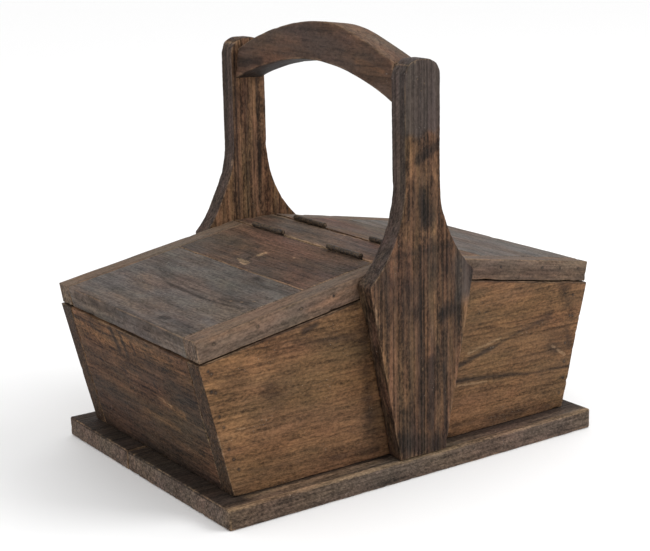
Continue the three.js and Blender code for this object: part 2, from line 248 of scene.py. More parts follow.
def rounded_block(size, radius, spacing, steps):
    """Six grids over the sides of a block, joined along its arrises: sharp points, rounded points, faces.

    A sharp point p is drawn in to c = clip(p, radius - half, half - radius), and the rounded point is
    c + radius * (p - c) / |p - c|.
    """
    half = np.array(size) / 2
    marks = [side_places(side, radius, spacing, steps) for side in size]
    counts = [len(places) for places in marks]
    quads = []
    for axis in range(3):
        across, up = (axis + 1) % 3, (axis + 2) % 3
        index = np.zeros((3, counts[across], counts[up]), int)
        index[across] = np.arange(counts[across])[:, None]
        index[up] = np.arange(counts[up])[None, :]
        for end in (0, counts[axis] - 1):
            index[axis] = end
            key = np.ravel_multi_index(index, counts)
            corners = np.stack([key[:-1, :-1], key[1:, :-1], key[1:, 1:], key[:-1, 1:]], axis=-1)
            corners = corners.reshape(-1, 4)
            quads.append(corners if end else corners[:, ::-1])
    used, faces = np.unique(np.concatenate(quads), return_inverse=True)
    lattice = np.unravel_index(used, counts)
    sharp = np.stack([marks[k][lattice[k]] for k in range(3)], axis=1)
    core = np.clip(sharp, radius - half, half - radius)
    offset = sharp - core
    place = core + radius * offset / np.linalg.norm(offset, axis=1, keepdims=True)
    return sharp, place, faces.reshape(-1, 4)


def point_normals(place, faces):
    """Unit normals: the sum, over the faces round each point, of the cross product of a face's diagonals."""
    corners = place[faces]
    across = np.cross(corners[:, 2] - corners[:, 0], corners[:, 3] - corners[:, 1])
    total = np.stack([
        np.bincount(faces.ravel(), np.repeat(across[:, k], 4), len(place)) for k in range(3)
    ], axis=1)
    return total / np.maximum(np.linalg.norm(total, axis=1, keepdims=True), TINY)


def ripple(place, wavelength, seed):
    """A smooth rise and fall, mostly between -1 and 1: a mean of sine waves, each in its own direction."""
    rng = np.random.default_rng(seed)
    directions = rng.normal(size=(WAVES, 3))
    directions /= np.linalg.norm(directions, axis=1, keepdims=True)
    turns = 2 * math.pi / (wavelength * rng.uniform(0.7, 1.6, WAVES))
    phases = rng.uniform(0, 2 * math.pi, WAVES)
    return 2.2 * np.sin(place @ (directions.T * turns) + phases).mean(axis=1)


def smooth(value):
    """0 below 0, 1 above 1, and 3v^2 - 2v^3 between."""
    v = np.clip(value, 0, 1)
    return v * v * (3 - 2 * v)


def coordinate(axis):
    """A property of a piece of timber: one coordinate of its points, to read or to change."""
    def read(timber):
        return timber.at[:, axis]

    def change(timber, values):
        timber.at[:, axis] = values

    return property(read, change)


class Timber:
    """A piece of wood while it is made: first on the bench, with its block centred on zero, then in place.

    at holds the points and share their places in the sharp block, from -1 to 1 on each axis. arris is the
    distance from the nearest arris, end is 1 where a saw went across the grain, and the four values after it
    are how dark with old stain and painted shade, how worn to bare wood, how orange and how greyed each point
    is.
    """

    x, y, z = (coordinate(axis) for axis in (ALONG, ACROSS, UP))

    def __init__(self, size, grain, radius=None, grid=None):
        s = sizes()
        radius = radius or s.arris
        sharp, self.at, self.faces = rounded_block(size, radius, grid or s.grid, s.arris_steps)
        half = np.array(size) / 2
        inset = half - np.abs(sharp)
        self.grain = grain
        self.thin = int(np.argmin(size))
        self.share = sharp / half
        self.arris = np.sort(inset, axis=1)[:, 1]
        self.end = 1 - np.clip(inset[:, grain] / radius, 0, 1)
        self.stain, self.bare, self.warm, self.grey = np.zeros((4, len(sharp)))
        self.figure = None

    def saw(self, pith, run):
        """Keeps the plank's figure as it is on the bench: along the grain, across the plank, through it.

        pith is the place of the tree's middle across and through the plank, and run a distance along it.
        """
        across = 3 - self.grain - self.thin
        offset = np.array([run, -pith[0], -pith[1]])
        self.figure = self.at[:, [self.grain, across, self.thin]] + offset

    def wear(self, seed, depth=None, width=0.0022, chips=26, chip_depth=0.0008):
        """Wears the arrises in, knocks chips out of them, and lets the flats rise and fall a little.

        The wear is depth * amount * exp(-(arris / width)^2), where amount is a ripple along the board.
        A chip is chip_depth * exp(-d^2), with d the distance from its middle in units of its own reach,
        longer along the grain.
        """
        depth = sizes().wear if depth is None else depth
        rng = np.random.default_rng(seed)
        amount = 0.35 + 0.65 * np.clip(0.35 + ripple(self.at, WEAR_WAVE, seed), 0, 1)
        worn = amount * np.exp(-(self.arris / width) ** 2)
        sink = depth * worn + FLAT_SINK * (1 + np.clip(ripple(self.at, FLAT_WAVE, seed + 1), -1, 1))
        near_arris = np.flatnonzero(self.arris < width / 4)
        for spot in self.at[rng.choice(near_arris, chips)]:
            reach = np.full(3, rng.uniform(*CHIP_REACH))
            reach[self.grain] *= rng.uniform(*CHIP_STRETCH)
            chip = np.exp(-(((self.at - spot) / reach) ** 2).sum(axis=1))
            sink += chip_depth * rng.uniform(0.3, 1.0) * chip
            self.mark("bare", 0.7 * chip)
        self.press(sink)
        self.mark("bare", 0.8 * worn * amount)

    def press(self, depth):
        """Moves the points in by their own depths."""
        self.at = self.at - point_normals(self.at, self.faces) * depth[:, None]

    def mark(self, kind, amount):
        """Raises one of every point's values, stain and shade, bare, warm or grey, to at least an amount of 0
        to 1.
        """
        setattr(self, kind, np.maximum(getattr(self, kind), amount))

    def distance(self, view, line):
        """Each point's distance from a line in a view of two axes, as a share of the line's reach.

        The line is both its ends and its reach, in millimetres.
        """
        start, stop, reach = np.split(np.array(line) * MILLIMETRE, (2, 4))
        flat = self.at[:, list(view)] - start
        run = stop - start
        share = np.clip(flat @ run / max(run @ run, TINY), 0, 1)
        return np.linalg.norm(flat - share[:, None] * run, axis=1) / reach

    def draw(self, view, marks, where=1.0):
        """Draws marks of each kind as they are in a view of two axes: lines, each with a strength.

        A mark's amount is strength * (1 - d), where d is the distance from its line.
        """
        for kind, lines in marks.items():
            for *line, strength in lines:
                self.mark(kind, where * strength * np.clip(1 - self.distance(view, line), 0, 1))

    def stain_nails(self, prefix, strength, reach):
        """Old stain round the nails whose names start in one way."""
        for node in nail_nodes(prefix):
            x, _, z = middle(node)
            self.mark("stain", strength * near(self.at, x, z, reach))

    def roughen(self, depth, wavelength, where, seed):
        """Sinks points by depth * (0.5 + 0.5 * ripple), where they are told."""
        self.press(depth * where * (0.5 + 0.5 * np.clip(ripple(self.at, wavelength, seed), -1, 1)))

    def build(self, node, wood_name, slot):
        """Makes the finished mesh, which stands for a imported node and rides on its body."""
        piece = new_piece(node, self.at, self.faces, material(wood_name))
        figure = piece.data.attributes.new("figure", "FLOAT_VECTOR", "POINT")
        figure.data.foreach_set("vector", self.figure.astype(np.float32).ravel())
        for label in POINT_VALUES:
            values = piece.data.attributes.new(label, "FLOAT", "POINT")
            values.data.foreach_set("value", getattr(self, label).astype(np.float32))
        declare(piece, body_of(node), [node])


def new_piece(name, points, faces, finish):
    """A smooth-shaded mesh object at the origin, from points, faces and a material."""
    mesh = bpy.data.meshes.new(name)
    mesh.from_pydata(points.tolist(), [], faces if isinstance(faces, list) else faces.tolist())
    mesh.polygons.foreach_set("use_smooth", np.ones(len(mesh.polygons), bool))
    mesh.materials.append(finish)
    piece = bpy.data.objects.new(name, mesh)
    bpy.context.scene.collection.objects.link(piece)
    return piece


def declare(piece, body, nodes):
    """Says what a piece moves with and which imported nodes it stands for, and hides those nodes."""
    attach(piece, body)
    if nodes:
        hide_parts(*nodes)


def spun(section, count):
    """Rings of points, from a section of (radius, y) points spun about Y.

    Point j of a ring is (r cos t, y, r sin t) with t = 2 pi j / count.
    """
    rings = np.array(section)
    turns = np.arange(count) * 2 * math.pi / count
    x = rings[:, :1] * np.cos(turns)
    z = rings[:, :1] * np.sin(turns)
    return np.stack([x, np.repeat(rings[:, 1:], count, axis=1), z], axis=-1).reshape(-1, 3)


def band(first, second, count):
    """Faces between two rings of points, from the number of each ring's first point."""
    here = np.arange(count)
    after = (here + 1) % count
    return np.stack([first + here, second + here, second + after, first + after], axis=1).tolist()


def turned(profile, count):
    """A profile of (radius, y) points, from axis to axis, spun about Y: points and faces.

    The two ends are single points.
    """
    points = spun(profile[1:-1], count)
    tips = np.array([[0, profile[0][1], 0], [0, profile[-1][1], 0]])
    first, top = len(points), len(points) - count
    faces = [face for i in range(0, top, count) for face in band(i, i + count, count)]
    here = np.arange(count)
    after = (here + 1) % count
    faces += np.stack([np.full(count, first), here, after], axis=1).tolist()
    faces += np.stack([np.full(count, first + 1), top + after, top + here], axis=1).tolist()
    return np.concatenate([points, tips]), faces


# ---------------------------------------------------------------- node tools

NO_PLACE = (0.0, 0.0, 0.0)
BLACK = (0.0, 0.0, 0.0, 1.0)
SOCKETS = {1: "NodeSocketFloat", 3: "NodeSocketVector", 4: "NodeSocketColor"}
COLOUR_OUTPUTS = ("Color", "Tone")


class Graph:
    """A node tree with a short way to add each kind of node. What goes in is a socket or a plain value."""

    def __init__(self, tree):
        self.tree = tree

    def fill(self, node, inputs):
        """Links a node's inputs from sockets or sets them to values, and gives its outputs."""
        for key, value in inputs.items():
            if isinstance(value, bpy.types.NodeSocket):
                self.tree.links.new(value, node.inputs[key])
            else:
                node.inputs[key].default_value = value
        return node.outputs

    def add(self, kind, inputs, **settings):
        """The outputs of a new node."""
        node = self.tree.nodes.new(kind)
        for name, value in settings.items():
            setattr(node, name, value)
        return self.fill(node, inputs)

    def group(self, name, inputs):
        """The outputs of one of the shared groups, which is made the first time it is asked for."""
        node = self.tree.nodes.new("ShaderNodeGroup")
        node.node_tree = bpy.data.node_groups.get(name) or new_group(name, *GROUPS[name])
        return self.fill(node, inputs)

    def attribute(self, name):
        """An attribute of the mesh."""
        return self.add("ShaderNodeAttribute", {}, attribute_name=name)

    def maths(self, operation, *values, clamp=False):
        """One sum."""
        return self.add("ShaderNodeMath", dict(enumerate(values)), operation=operation, use_clamp=clamp)[0]

    def times(self, first, second):
        """first * second."""
        return self.maths("MULTIPLY", first, second)

    def line(self, value, slope, start):
        """value * slope + start."""
        return self.maths("MULTIPLY_ADD", value, slope, start)

    def larger(self, first, second, clamp=False):
        """The larger of two."""
        return self.maths("MAXIMUM", first, second, clamp=clamp)

    def fade(self, value, start, stop, to_start=0.0, to_stop=1.0):
        """A smooth change from one value at start to another at stop."""
        inputs = {"Value": value, "From Min": start, "From Max": stop, "To Min": to_start, "To Max": to_stop}
        return self.add("ShaderNodeMapRange", inputs, interpolation_type="SMOOTHSTEP")["Result"]

    def mix(self, share, under, over):
        """Two colours mixed."""
        return self.add("ShaderNodeMix", {0: share, 6: under, 7: over}, data_type="RGBA")[2]

    def vectors(self, operation, first, second):
        """One sum of vectors."""
        return self.add("ShaderNodeVectorMath", {0: first, 1: second}, operation=operation)[0]

    def scaled(self, vector, factor):
        """A vector times a number."""
        return self.add("ShaderNodeVectorMath", {0: vector, "Scale": factor}, operation="SCALE")[0]

    def centred(self, colours):
        """Coloured noise moved from 0 to 1 to lie about 0."""
        return self.vectors("ADD", colours, (-0.5, -0.5, -0.5))

    def noise(self, place, scale, detail=2.0, roughness=0.5, draw=1.0):
        """Cloudy noise of 0 to 1: one value ("Fac") and three ("Color").

        draw shortens the distance along the grain, the first coordinate, so that the noise is drawn out
        along it.
        """
        if draw != 1.0:
            shortened = self.add("ShaderNodeCombineXYZ", {"X": draw, "Y": 1.0, "Z": 1.0})["Vector"]
            place = self.vectors("MULTIPLY", place, shortened)
        inputs = {"Vector": place, "Scale": scale, "Detail": detail, "Roughness": roughness}
        return self.add("ShaderNodeTexNoise", inputs)

    def grain(self, place, draw, scale, detail=2.0, roughness=0.5, start=0.32, stop=0.68):
        """Noise drawn out along the grain and faded from 0 at start to 1 at stop."""
        return self.fade(self.noise(place, scale, detail, roughness, draw)["Fac"], start, stop)

    def bump(self, height, distance, strength):
        """The normal of a surface with a height of its own."""
        return self.add("ShaderNodeBump", {"Height": height, "Distance": distance, "Strength": strength})[0]


def new_group(name, make, defaults):
    """A shared node group. Its inputs are named defaults, and make gives its named outputs."""
    tree = bpy.data.node_groups.new(name, "ShaderNodeTree")
    for label, default in defaults.items():
        kind = SOCKETS[len(default) if isinstance(default, tuple) else 1]
        socket = tree.interface.new_socket(label, in_out="INPUT", socket_type=kind)
        socket.default_value = default
    graph = Graph(tree)
    made = make(graph, tree.nodes.new("NodeGroupInput").outputs)
    for label in made:
        kind = SOCKETS[4 if label in COLOUR_OUTPUTS else 1]
        tree.interface.new_socket(label, in_out="OUTPUT", socket_type=kind)
    graph.fill(tree.nodes.new("NodeGroupOutput"), made)
    return tree


def plank_figure(g, given):
    """Growth rings, fibres, clouds and pores of a plank, from its figure coordinates.

    A ring's radius is the distance from the pith line, bent by noise. The late wood of a ring starts at
    Line Start, ends sharply, and comes and goes. Fibres, pores and clouds are noise drawn out along the
    grain. Tone is the brightness and tint by which a colour is multiplied: fibres, smears and grit.
    """
    figure = given["Figure"]
    bent = figure
    for draw, scale, detail, reach in ((0.22, 14.0, 2.0, "Wander"), (0.30, 130.0, 3.0, "Wobble")):
        pushed = g.centred(g.noise(figure, scale, detail, draw=draw)["Color"])
        bent = g.vectors("ADD", bent, g.scaled(pushed, given[reach]))
    flattened = g.vectors("MULTIPLY", bent, (0.0, 1.0, 1.0))
    radius = g.add("ShaderNodeVectorMath", {0: flattened}, operation="LENGTH")["Value"]
    turn = g.maths("FRACT", g.maths("DIVIDE", radius, given["Ring Width"]))
    late = g.times(g.fade(turn, given["Line Start"], 0.9), g.fade(turn, 0.9, 1.0, 1.0, 0.0))
    strength = g.grain(figure, 0.15, 60.0, 3.0, start=0.36, stop=0.62)
    fibres = g.grain(figure, given["Fibre Draw"], given["Fibre Scale"], 3.0, 0.6)
    clouds = g.noise(figure, given["Cloud Scale"], 5.0, 0.62, given["Cloud Draw"])
    smears = g.grain(figure, 0.25, 120.0, 5.0, 0.68)
    grit = g.grain(figure, 0.6, 480.0, 3.0, 0.7)
    shade = g.line(fibres, given["Fibre Share"], g.times(smears, 0.30))
    shade = g.line(grit, g.maths("SUBTRACT", 0.9, given["Fibre Share"]), shade)
    bright = g.larger(g.line(g.maths("ADD", shade, -0.6), given["Contrast"], 1.0), 0.25)
    tint = g.vectors("ADD", g.scaled(g.centred(clouds["Color"]), given["Tint"]), (1.0, 1.0, 1.0))
    return {
        "Rings": g.times(late, strength), "Fibres": fibres, "Clouds": g.fade(clouds["Fac"], 0.34, 0.66),
        "Pores": g.grain(figure, 0.13, 480.0, start=0.56, stop=0.68), "Smears": smears, "Grit": grit,
        "Tone": g.scaled(tint, bright),
    }


def old_stain(g, given):
    """Old stain and painted shade where the board's own value says, with ragged edges, and stain in loose
    blotches.

    Darkened wood is part its own colour darkened and part the dark colour, so its figure stays in sight.
    """
    figure, stain = given["Figure"], given["Darkening"]
    ragged = g.noise(figure, 120.0, 5.0, 0.7, 0.3)["Fac"]
    edge = g.maths("ADD", stain, g.line(ragged, 1.1, -0.55))
    told = g.times(g.fade(edge, 0.05, 0.85), g.fade(stain, 0.0, 0.25))
    loose = g.grain(figure, 0.4, given["Blotch Scale"], 5.0, 0.68, 0.48, 0.70)
    mask = g.larger(told, g.times(loose, given["Blotches"]))
    over = g.mix(0.5, g.scaled(given["Color"], 0.36), given["Darkening Color"])
    return {"Color": g.mix(mask, given["Color"], over), "Mask": mask}


def saw_marks(g, given):
    """Slanting marks of a coarse saw on sawn edges: noise drawn out along a leaning line."""
    rise = g.add("ShaderNodeSeparateXYZ", {"Vector": given["Place"]})["Z"]
    lean = g.add("ShaderNodeCombineXYZ", {"X": rise, "Y": rise})["Vector"]
    leaning = g.vectors("ADD", given["Place"], g.scaled(lean, 0.7))
    short = g.vectors("MULTIPLY", leaning, (1.0, 1.0, 0.22))
    cuts = g.fade(g.noise(short, 480.0, 4.0, 0.6)["Fac"], 0.34, 0.66)
    depth = g.times(given["Mask"], given["Strength"])
    bright = g.line(g.maths("ADD", cuts, -0.5), g.times(depth, 1.7), 1.0)
    return {"Color": g.scaled(given["Color"], bright), "Height": g.times(cuts, depth)}


def worn_arris(g, given):
    """Wood worn pale along arrises and where a board's bare value says, broken up by noise."""
    ragged = g.noise(given["Figure"], 420.0, 3.0, 0.6, 0.3)["Fac"]
    patchy = g.fade(g.noise(given["Figure"], 45.0)["Fac"], 0.35, 0.62)
    reach = g.times(given["Width"], g.line(ragged, 2.4, -0.2))
    edge = g.times(g.fade(g.maths("DIVIDE", given["Arris"], reach), 0.3, 1.2, 1.0, 0.0), patchy)
    told = g.fade(g.line(ragged, 0.5, given["Bare"]), 0.55, 1.0)
    mask = g.maths("MULTIPLY", g.larger(edge, told), given["Amount"], clamp=True)
    return {"Color": g.mix(mask, given["Color"], given["Worn Color"]), "Mask": mask}


def dust_specks(g, given):
    """Tiny pale specks and short scratches, few and unevenly spread."""
    figure = given["Figure"]
    speck = g.fade(g.noise(figure, 900.0, 1.0)["Fac"], 0.715, 0.76)
    where = g.fade(g.noise(figure, 38.0)["Fac"], 0.52, 0.68)
    scratch = g.times(g.grain(figure, 9.0, 120.0, start=0.70, stop=0.78), 0.35)
    mask = g.times(g.times(g.larger(speck, scratch), where), given["Amount"])
    return {"Color": g.mix(mask, given["Color"], given["Dust Color"]), "Mask": mask}


GROUPS = {
    "plank_figure": (plank_figure, {
        "Figure": NO_PLACE, "Ring Width": 0.004, "Line Start": 0.3, "Wander": 0.012, "Wobble": 0.0022,
        "Fibre Scale": 420.0, "Fibre Draw": 0.03, "Cloud Scale": 24.0, "Cloud Draw": 0.35,
        "Fibre Share": 0.45, "Contrast": 1.0, "Tint": 0.4,
    }),
    "old_stain": (old_stain, {
        "Color": BLACK, "Figure": NO_PLACE, "Darkening": 0.0, "Darkening Color": BLACK, "Blotches": 0.4,
        "Blotch Scale": 30.0,
    }),
    "saw_marks": (saw_marks, {"Color": BLACK, "Place": NO_PLACE, "Mask": 0.0, "Strength": 0.6}),
    "worn_arris": (worn_arris, {
        "Color": BLACK, "Figure": NO_PLACE, "Arris": 1.0, "Bare": 0.0, "Worn Color": BLACK,
        "Width": 0.0012, "Amount": 0.5,
    }),
    "dust_specks": (dust_specks, {
        "Color": BLACK, "Figure": NO_PLACE, "Dust Color": BLACK, "Amount": 0.5,
    }),
}


# ---------------------------------------------------------------- materials

def opaque(rgb):
    """A colour with its fourth value."""
    return (*rgb, 1.0)


def new_material(name):
    """An empty node material: the material, its node tree and its shader."""
    made = bpy.data.materials.new(name)
    made.use_nodes = True
    return made, Graph(made.node_tree), made.node_tree.nodes["Principled BSDF"]


def wood(name, kind, figure, late, fibres=0.3, clouds=0.7, pores=0.45, end_grain=0.4, blotches=0.4,
         blotch_scale=30.0, wear=0.5, wear_width=0.0012, dust=0.5, saw=0.5, relief=0.0004):
    """A weathered wood. kind picks its three colours, figure its plank, and the rest its marks of age."""
    made, g, shader = new_material(name)
    tones = colours()
    deep, body, glow = (opaque(getattr(tones, f"{kind}_{tone}")) for tone in TONES)
    place = g.attribute("figure")["Vector"]
    arris, end, stain, bare, warm, grey = (g.attribute(label)["Fac"] for label in POINT_VALUES)
    plank = g.group("plank_figure", {"Figure": place, **figure})
    told = g.times(warm, g.line(plank["Smears"], 0.8, 0.45))
    now = g.mix(g.larger(g.times(plank["Clouds"], clouds), told, clamp=True), body, glow)
    now = g.mix(g.times(plank["Fibres"], fibres), now, deep)
    now = g.mix(g.times(plank["Rings"], late), now, deep)
    now = g.mix(g.times(end, 0.8), now, g.mix(end_grain, body, deep))
    # old stain and painted shade, where the boards' darkening values say, and stain in loose blotches
    stained = g.group("old_stain", {
        "Color": now, "Figure": place, "Darkening": stain, "Darkening Color": opaque(tones.soot_and_shade),
        "Blotches": blotches, "Blotch Scale": blotch_scale,
    })
    worn = g.group("worn_arris", {
        "Color": g.mix(g.times(grey, 0.85), stained["Color"], opaque(tones.grey)), "Figure": place,
        "Arris": arris, "Bare": bare, "Worn Color": opaque(tones.worn), "Width": wear_width, "Amount": wear,
    })
    toned = g.vectors("MULTIPLY", worn["Color"], plank["Tone"])
    toned = g.mix(g.times(grey, 0.45), toned, worn["Color"])
    sawn = g.group("saw_marks", {
        "Color": g.mix(g.times(plank["Pores"], pores), toned, deep),
        "Place": g.add("ShaderNodeTexCoord", {})["Object"], "Mask": end, "Strength": saw,
    })
    dusted = g.group("dust_specks", {
        "Color": sawn["Color"], "Figure": place, "Dust Color": opaque(tones.dust), "Amount": dust,
    })
    height = g.line(plank["Rings"], -0.6, g.times(plank["Fibres"], -0.5))
    for value, share in ((plank["Pores"], -0.4), (plank["Grit"], 0.35), (sawn["Height"], 0.8)):
        height = g.line(value, share, height)
    g.fill(shader, {
        "Base Color": dusted["Color"], "Normal": g.bump(height, relief, 0.9), "Specular IOR Level": 0.12,
        "Roughness": g.line(worn["Mask"], 0.1, g.line(plank["Clouds"], 0.14, 0.62)),
    })
    return made


def blackened_iron(name):
    """Old iron, blackened, with rust coming through."""
    made, g, shader = new_material(name)
    tones = colours()
    place = g.add("ShaderNodeTexCoord", {})["Object"]
    rusty = g.fade(g.noise(place, 420.0, 4.0, 0.65)["Fac"], 0.4, 0.62)
    pitted = g.noise(place, 1400.0, 3.0)["Fac"]
    g.fill(shader, {
        "Base Color": g.mix(rusty, opaque(tones.iron), opaque(tones.rust)),
        "Roughness": g.line(rusty, 0.3, 0.5), "Metallic": g.line(rusty, -0.15, 0.2),
        "Specular IOR Level": 0.3, "Normal": g.bump(pitted, 0.0003, 0.7),
    })
    return made


WOODS = {
    "wall_wood": {
        "kind": "wall", "late": 0.32, "pores": 0.35, "end_grain": 0.7, "blotches": 0.35, "blotch_scale": 24.0,
        "wear": 0.35, "dust": 0.6,
        "figure": {"Ring Width": 0.0036, "Wander": 0.018, "Contrast": 1.4, "Tint": 0.3},
    },
    "end_wall_wood": {
        "kind": "end", "late": 0.3, "clouds": 0.35, "blotches": 0.5, "blotch_scale": 22.0, "wear": 0.3,
        "figure": {"Ring Width": 0.007, "Wander": 0.02, "Contrast": 2.0, "Tint": 0.4},
    },
    "lid_wood": {
        "kind": "lid", "late": 0.25, "clouds": 0.5, "pores": 0.35, "end_grain": 0.3, "blotches": 0.5,
        "blotch_scale": 40.0, "wear": 0.3, "dust": 0.8,
        "figure": {
            "Ring Width": 0.012, "Wander": 0.02, "Contrast": 1.35, "Tint": 0.2, "Cloud Scale": 34.0,
        },
    },
    "rail_wood": {
        "kind": "rail", "late": 0.25, "clouds": 0.4, "pores": 0.3, "end_grain": 0.3, "blotches": 0.3,
        "wear": 0.3,
        "figure": {
            "Ring Width": 0.010, "Wander": 0.014, "Contrast": 1.2, "Tint": 0.22, "Cloud Scale": 30.0,
        },
    },
    "upper_lid_wood": {
        "kind": "upper", "late": 0.3, "wear": 0.62,
        "figure": {"Ring Width": 0.006, "Wander": 0.014, "Contrast": 1.6, "Tint": 0.35},
    },
    "upright_wood": {
        "kind": "upright", "late": 0.6, "fibres": 0.42, "clouds": 0.6, "pores": 0.15, "end_grain": 0.08,
        "blotches": 0.35, "wear": 0.25, "saw": 0.28, "relief": 0.0007,
        "figure": {
            "Ring Width": 0.0085, "Line Start": 0.78, "Wander": 0.003, "Wobble": 0.0006,
            "Fibre Scale": 360.0, "Fibre Draw": 0.006, "Fibre Share": 0.58, "Cloud Scale": 90.0,
            "Cloud Draw": 0.10, "Contrast": 2.3, "Tint": 0.4,
        },
    },
    "handle_wood": {
        "kind": "handle", "late": 0.35, "blotches": 0.3, "wear": 0.3, "wear_width": 0.002,
        "figure": {"Ring Width": 0.007, "Wander": 0.01, "Contrast": 1.1, "Tint": 0.3},
    },
    "base_wood": {
        "kind": "base", "late": 0.5, "fibres": 0.35, "end_grain": 0.1, "blotches": 0.45, "wear": 0.45,
        "wear_width": 0.0014, "saw": 0.32, "relief": 0.0006,
        "figure": {"Ring Width": 0.006, "Wander": 0.03, "Wobble": 0.004, "Contrast": 1.5, "Tint": 0.25},
    },
}


def material(name):
    """One of the materials, made the first time it is asked for."""
    made = bpy.data.materials.get(name)
    return made or (wood(name, **WOODS[name]) if name in WOODS else blackened_iron(name))


# ---------------------------------------------------------------- base and walls

END_SHADE = 0.06                    # reach of the painted shade beyond the end walls
FRONT_SHADE = 0.004                 # reach of the painted shade beyond the long walls


def foot_shade(at):
    """Painted shade on the base's top: thick at the walls' feet and all along both ends, gone some way out in
    front.

    It is exp(-d / reach), where d is the distance out from the feet of the walls.
    """
    x, y, z = at.T
    out_x = np.abs(x) - WallSizes().foot_x
    out_y = np.maximum(low("front_wall")[ACROSS] - y, y - high("back_wall")[ACROSS])
    beside = np.exp(-np.maximum(out_x, 0) / END_SHADE) * (out_y < 0.002)
    before = 0.55 * np.exp(-np.maximum(out_y, 0) / FRONT_SHADE) * (out_x < 0.010)
    return (z > high("base_board_front")[UP] - SKIN) * np.maximum(beside, before)


FRONT_TOP_ARRIS = {
    "stain": ((-212, 5, 212, 5, 24, 0.45),),
    "bare": (
        (-212, 18.5, -40, 18.5, 3.4, 1), (30, 18.5, 200, 18.5, 3.4, 1), (-50, 18.5, 40, 18.5, 2.2, 0.75),
    ),
    "warm": ((-205, 12, -120, 13, 7, 0.9),),
}
# painted shadow: the dark lines run along the front wall's foot on the right and along both end walls' feet,
# under their lean; the bare line pales the front strip's left part
BASE_TOP_MARKS = {
    "stain": (
        (34, -125, 196, -125, 11, 1), (-184, -115, -184, 125, 34, 1.6), (196, -110, 196, 110, 16, 0.8),
    ),
    "bare": ((-170, -129, -40, -129, 15, 0.6),),
}
CORNER_START = 0.965                # where the base's outer corners start to be knocked in, of 1
CORNER_KNOCK = 0.0014               # how far they are knocked in
SAWN_EDGE = 0.985                   # where a long edge starts to show the saw, of 1


def build_base():
    """The two base boards, with rounded corners and rough edges."""
    s = sizes()
    for edge, pith, seed in (("front", (0.01, -0.035), 3), ("back", (-0.02, 0.03), 4)):
        node = f"base_board_{edge}"
        start, stop = low(node), high(node)
        board = Timber(stop - start, ALONG, s.base_arris, s.base_grid)
        board.saw(pith, 0.3 * seed)
        corner = np.abs(board.share[:, ALONG]) * np.clip(EDGES[edge] * board.share[:, ACROSS], 0, 1)
        knocked = CORNER_KNOCK * smooth((corner - CORNER_START) / (1 - CORNER_START))
        flat = board.at * [1, 1, 0]
        board.at -= knocked[:, None] * flat / np.linalg.norm(flat, axis=1, keepdims=True)
        board.mark("end", 0.75 * (np.abs(board.share[:, ACROSS]) > SAWN_EDGE))
        board.wear(seed, depth=0.0005, width=0.003, chips=34, chip_depth=0.0008)
        board.roughen(0.0002, 0.008, board.end, seed)
        board.at += middle(node)
        board.z = np.maximum(board.z, start[UP])
        # painted shade at the walls' feet and along both ends
        board.mark("stain", foot_shade(board.at))
        # painted shadow along the walls' feet, and a paler strip in front
        board.draw(FROM_ABOVE, BASE_TOP_MARKS, board.z > stop[UP] - SKIN)
        seam = np.abs(board.y - (stop if edge == "front" else start)[ACROSS])
        board.mark("stain", 0.9 * smooth(1 - seam / 0.0025))
        if edge == "front":
            board.draw(FROM_FRONT, FRONT_TOP_ARRIS, board.y < start[ACROSS] + 0.0055)
        board.build(node, "base_wood", "dark_brown_wood")


class WallSizes:
    """Places of the walls' corners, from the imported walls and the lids' slope."""

    def __init__(self):
        s = sizes()
        start, stop = low("front_wall"), high("front_wall")
        self.foot_z, self.peak_z = start[UP], stop[UP]
        self.top_x = stop[ALONG]
        self.ridge_x = high("ridge_board")[ALONG]
        self.fall = math.tan(s.pitch)
        self.lean = math.tan(s.splay)
        self.end_z = self.peak_z - (self.top_x - self.ridge_x) * self.fall
        self.foot_x = self.top_x - (self.end_z - self.foot_z) * self.lean

    def top(self, x):
        """Height of the walls' top edge at a distance along the box."""
        return np.minimum(self.peak_z, self.end_z + (self.top_x - np.abs(x)) * self.fall)


CORNER_NAILS = {    # on the left and right of a long wall: millimetres in from its end and up from its foot
    -1: ((7.6, 111.6), (9.8, 108.8), (5.6, 94.0), (9.0, 92.4), (6.6, 72.1), (7.8, 62.2), (7.0, 42.0),
         (8.8, 32.8), (10.8, 23.3)),
    1: ((15.3, 107.6), (14.2, 88.4), (10.9, 87.8), (13.1, 62.7), (9.2, 44.6), (7.1, 29.6), (7.9, 14.8)),
}


def wall_nails(edge):
    """Places of the corner nails on a long wall, as x and z. Both walls look the same from outside."""
    w = WallSizes()
    return [
        (side * (w.foot_x + (lift * w.lean - inward) * MILLIMETRE), w.foot_z + lift * MILLIMETRE)
        for side in (-1, 1) for inward, lift in CORNER_NAILS[side * -EDGES[edge]]
    ]


def near(at, x, z, reach):
    """How near points are to a place in x and z: 1 at it and 0 beyond its reach."""
    distance = np.hypot(at[:, ALONG] - x, at[:, UP] - z)
    return smooth(1 - distance / reach)


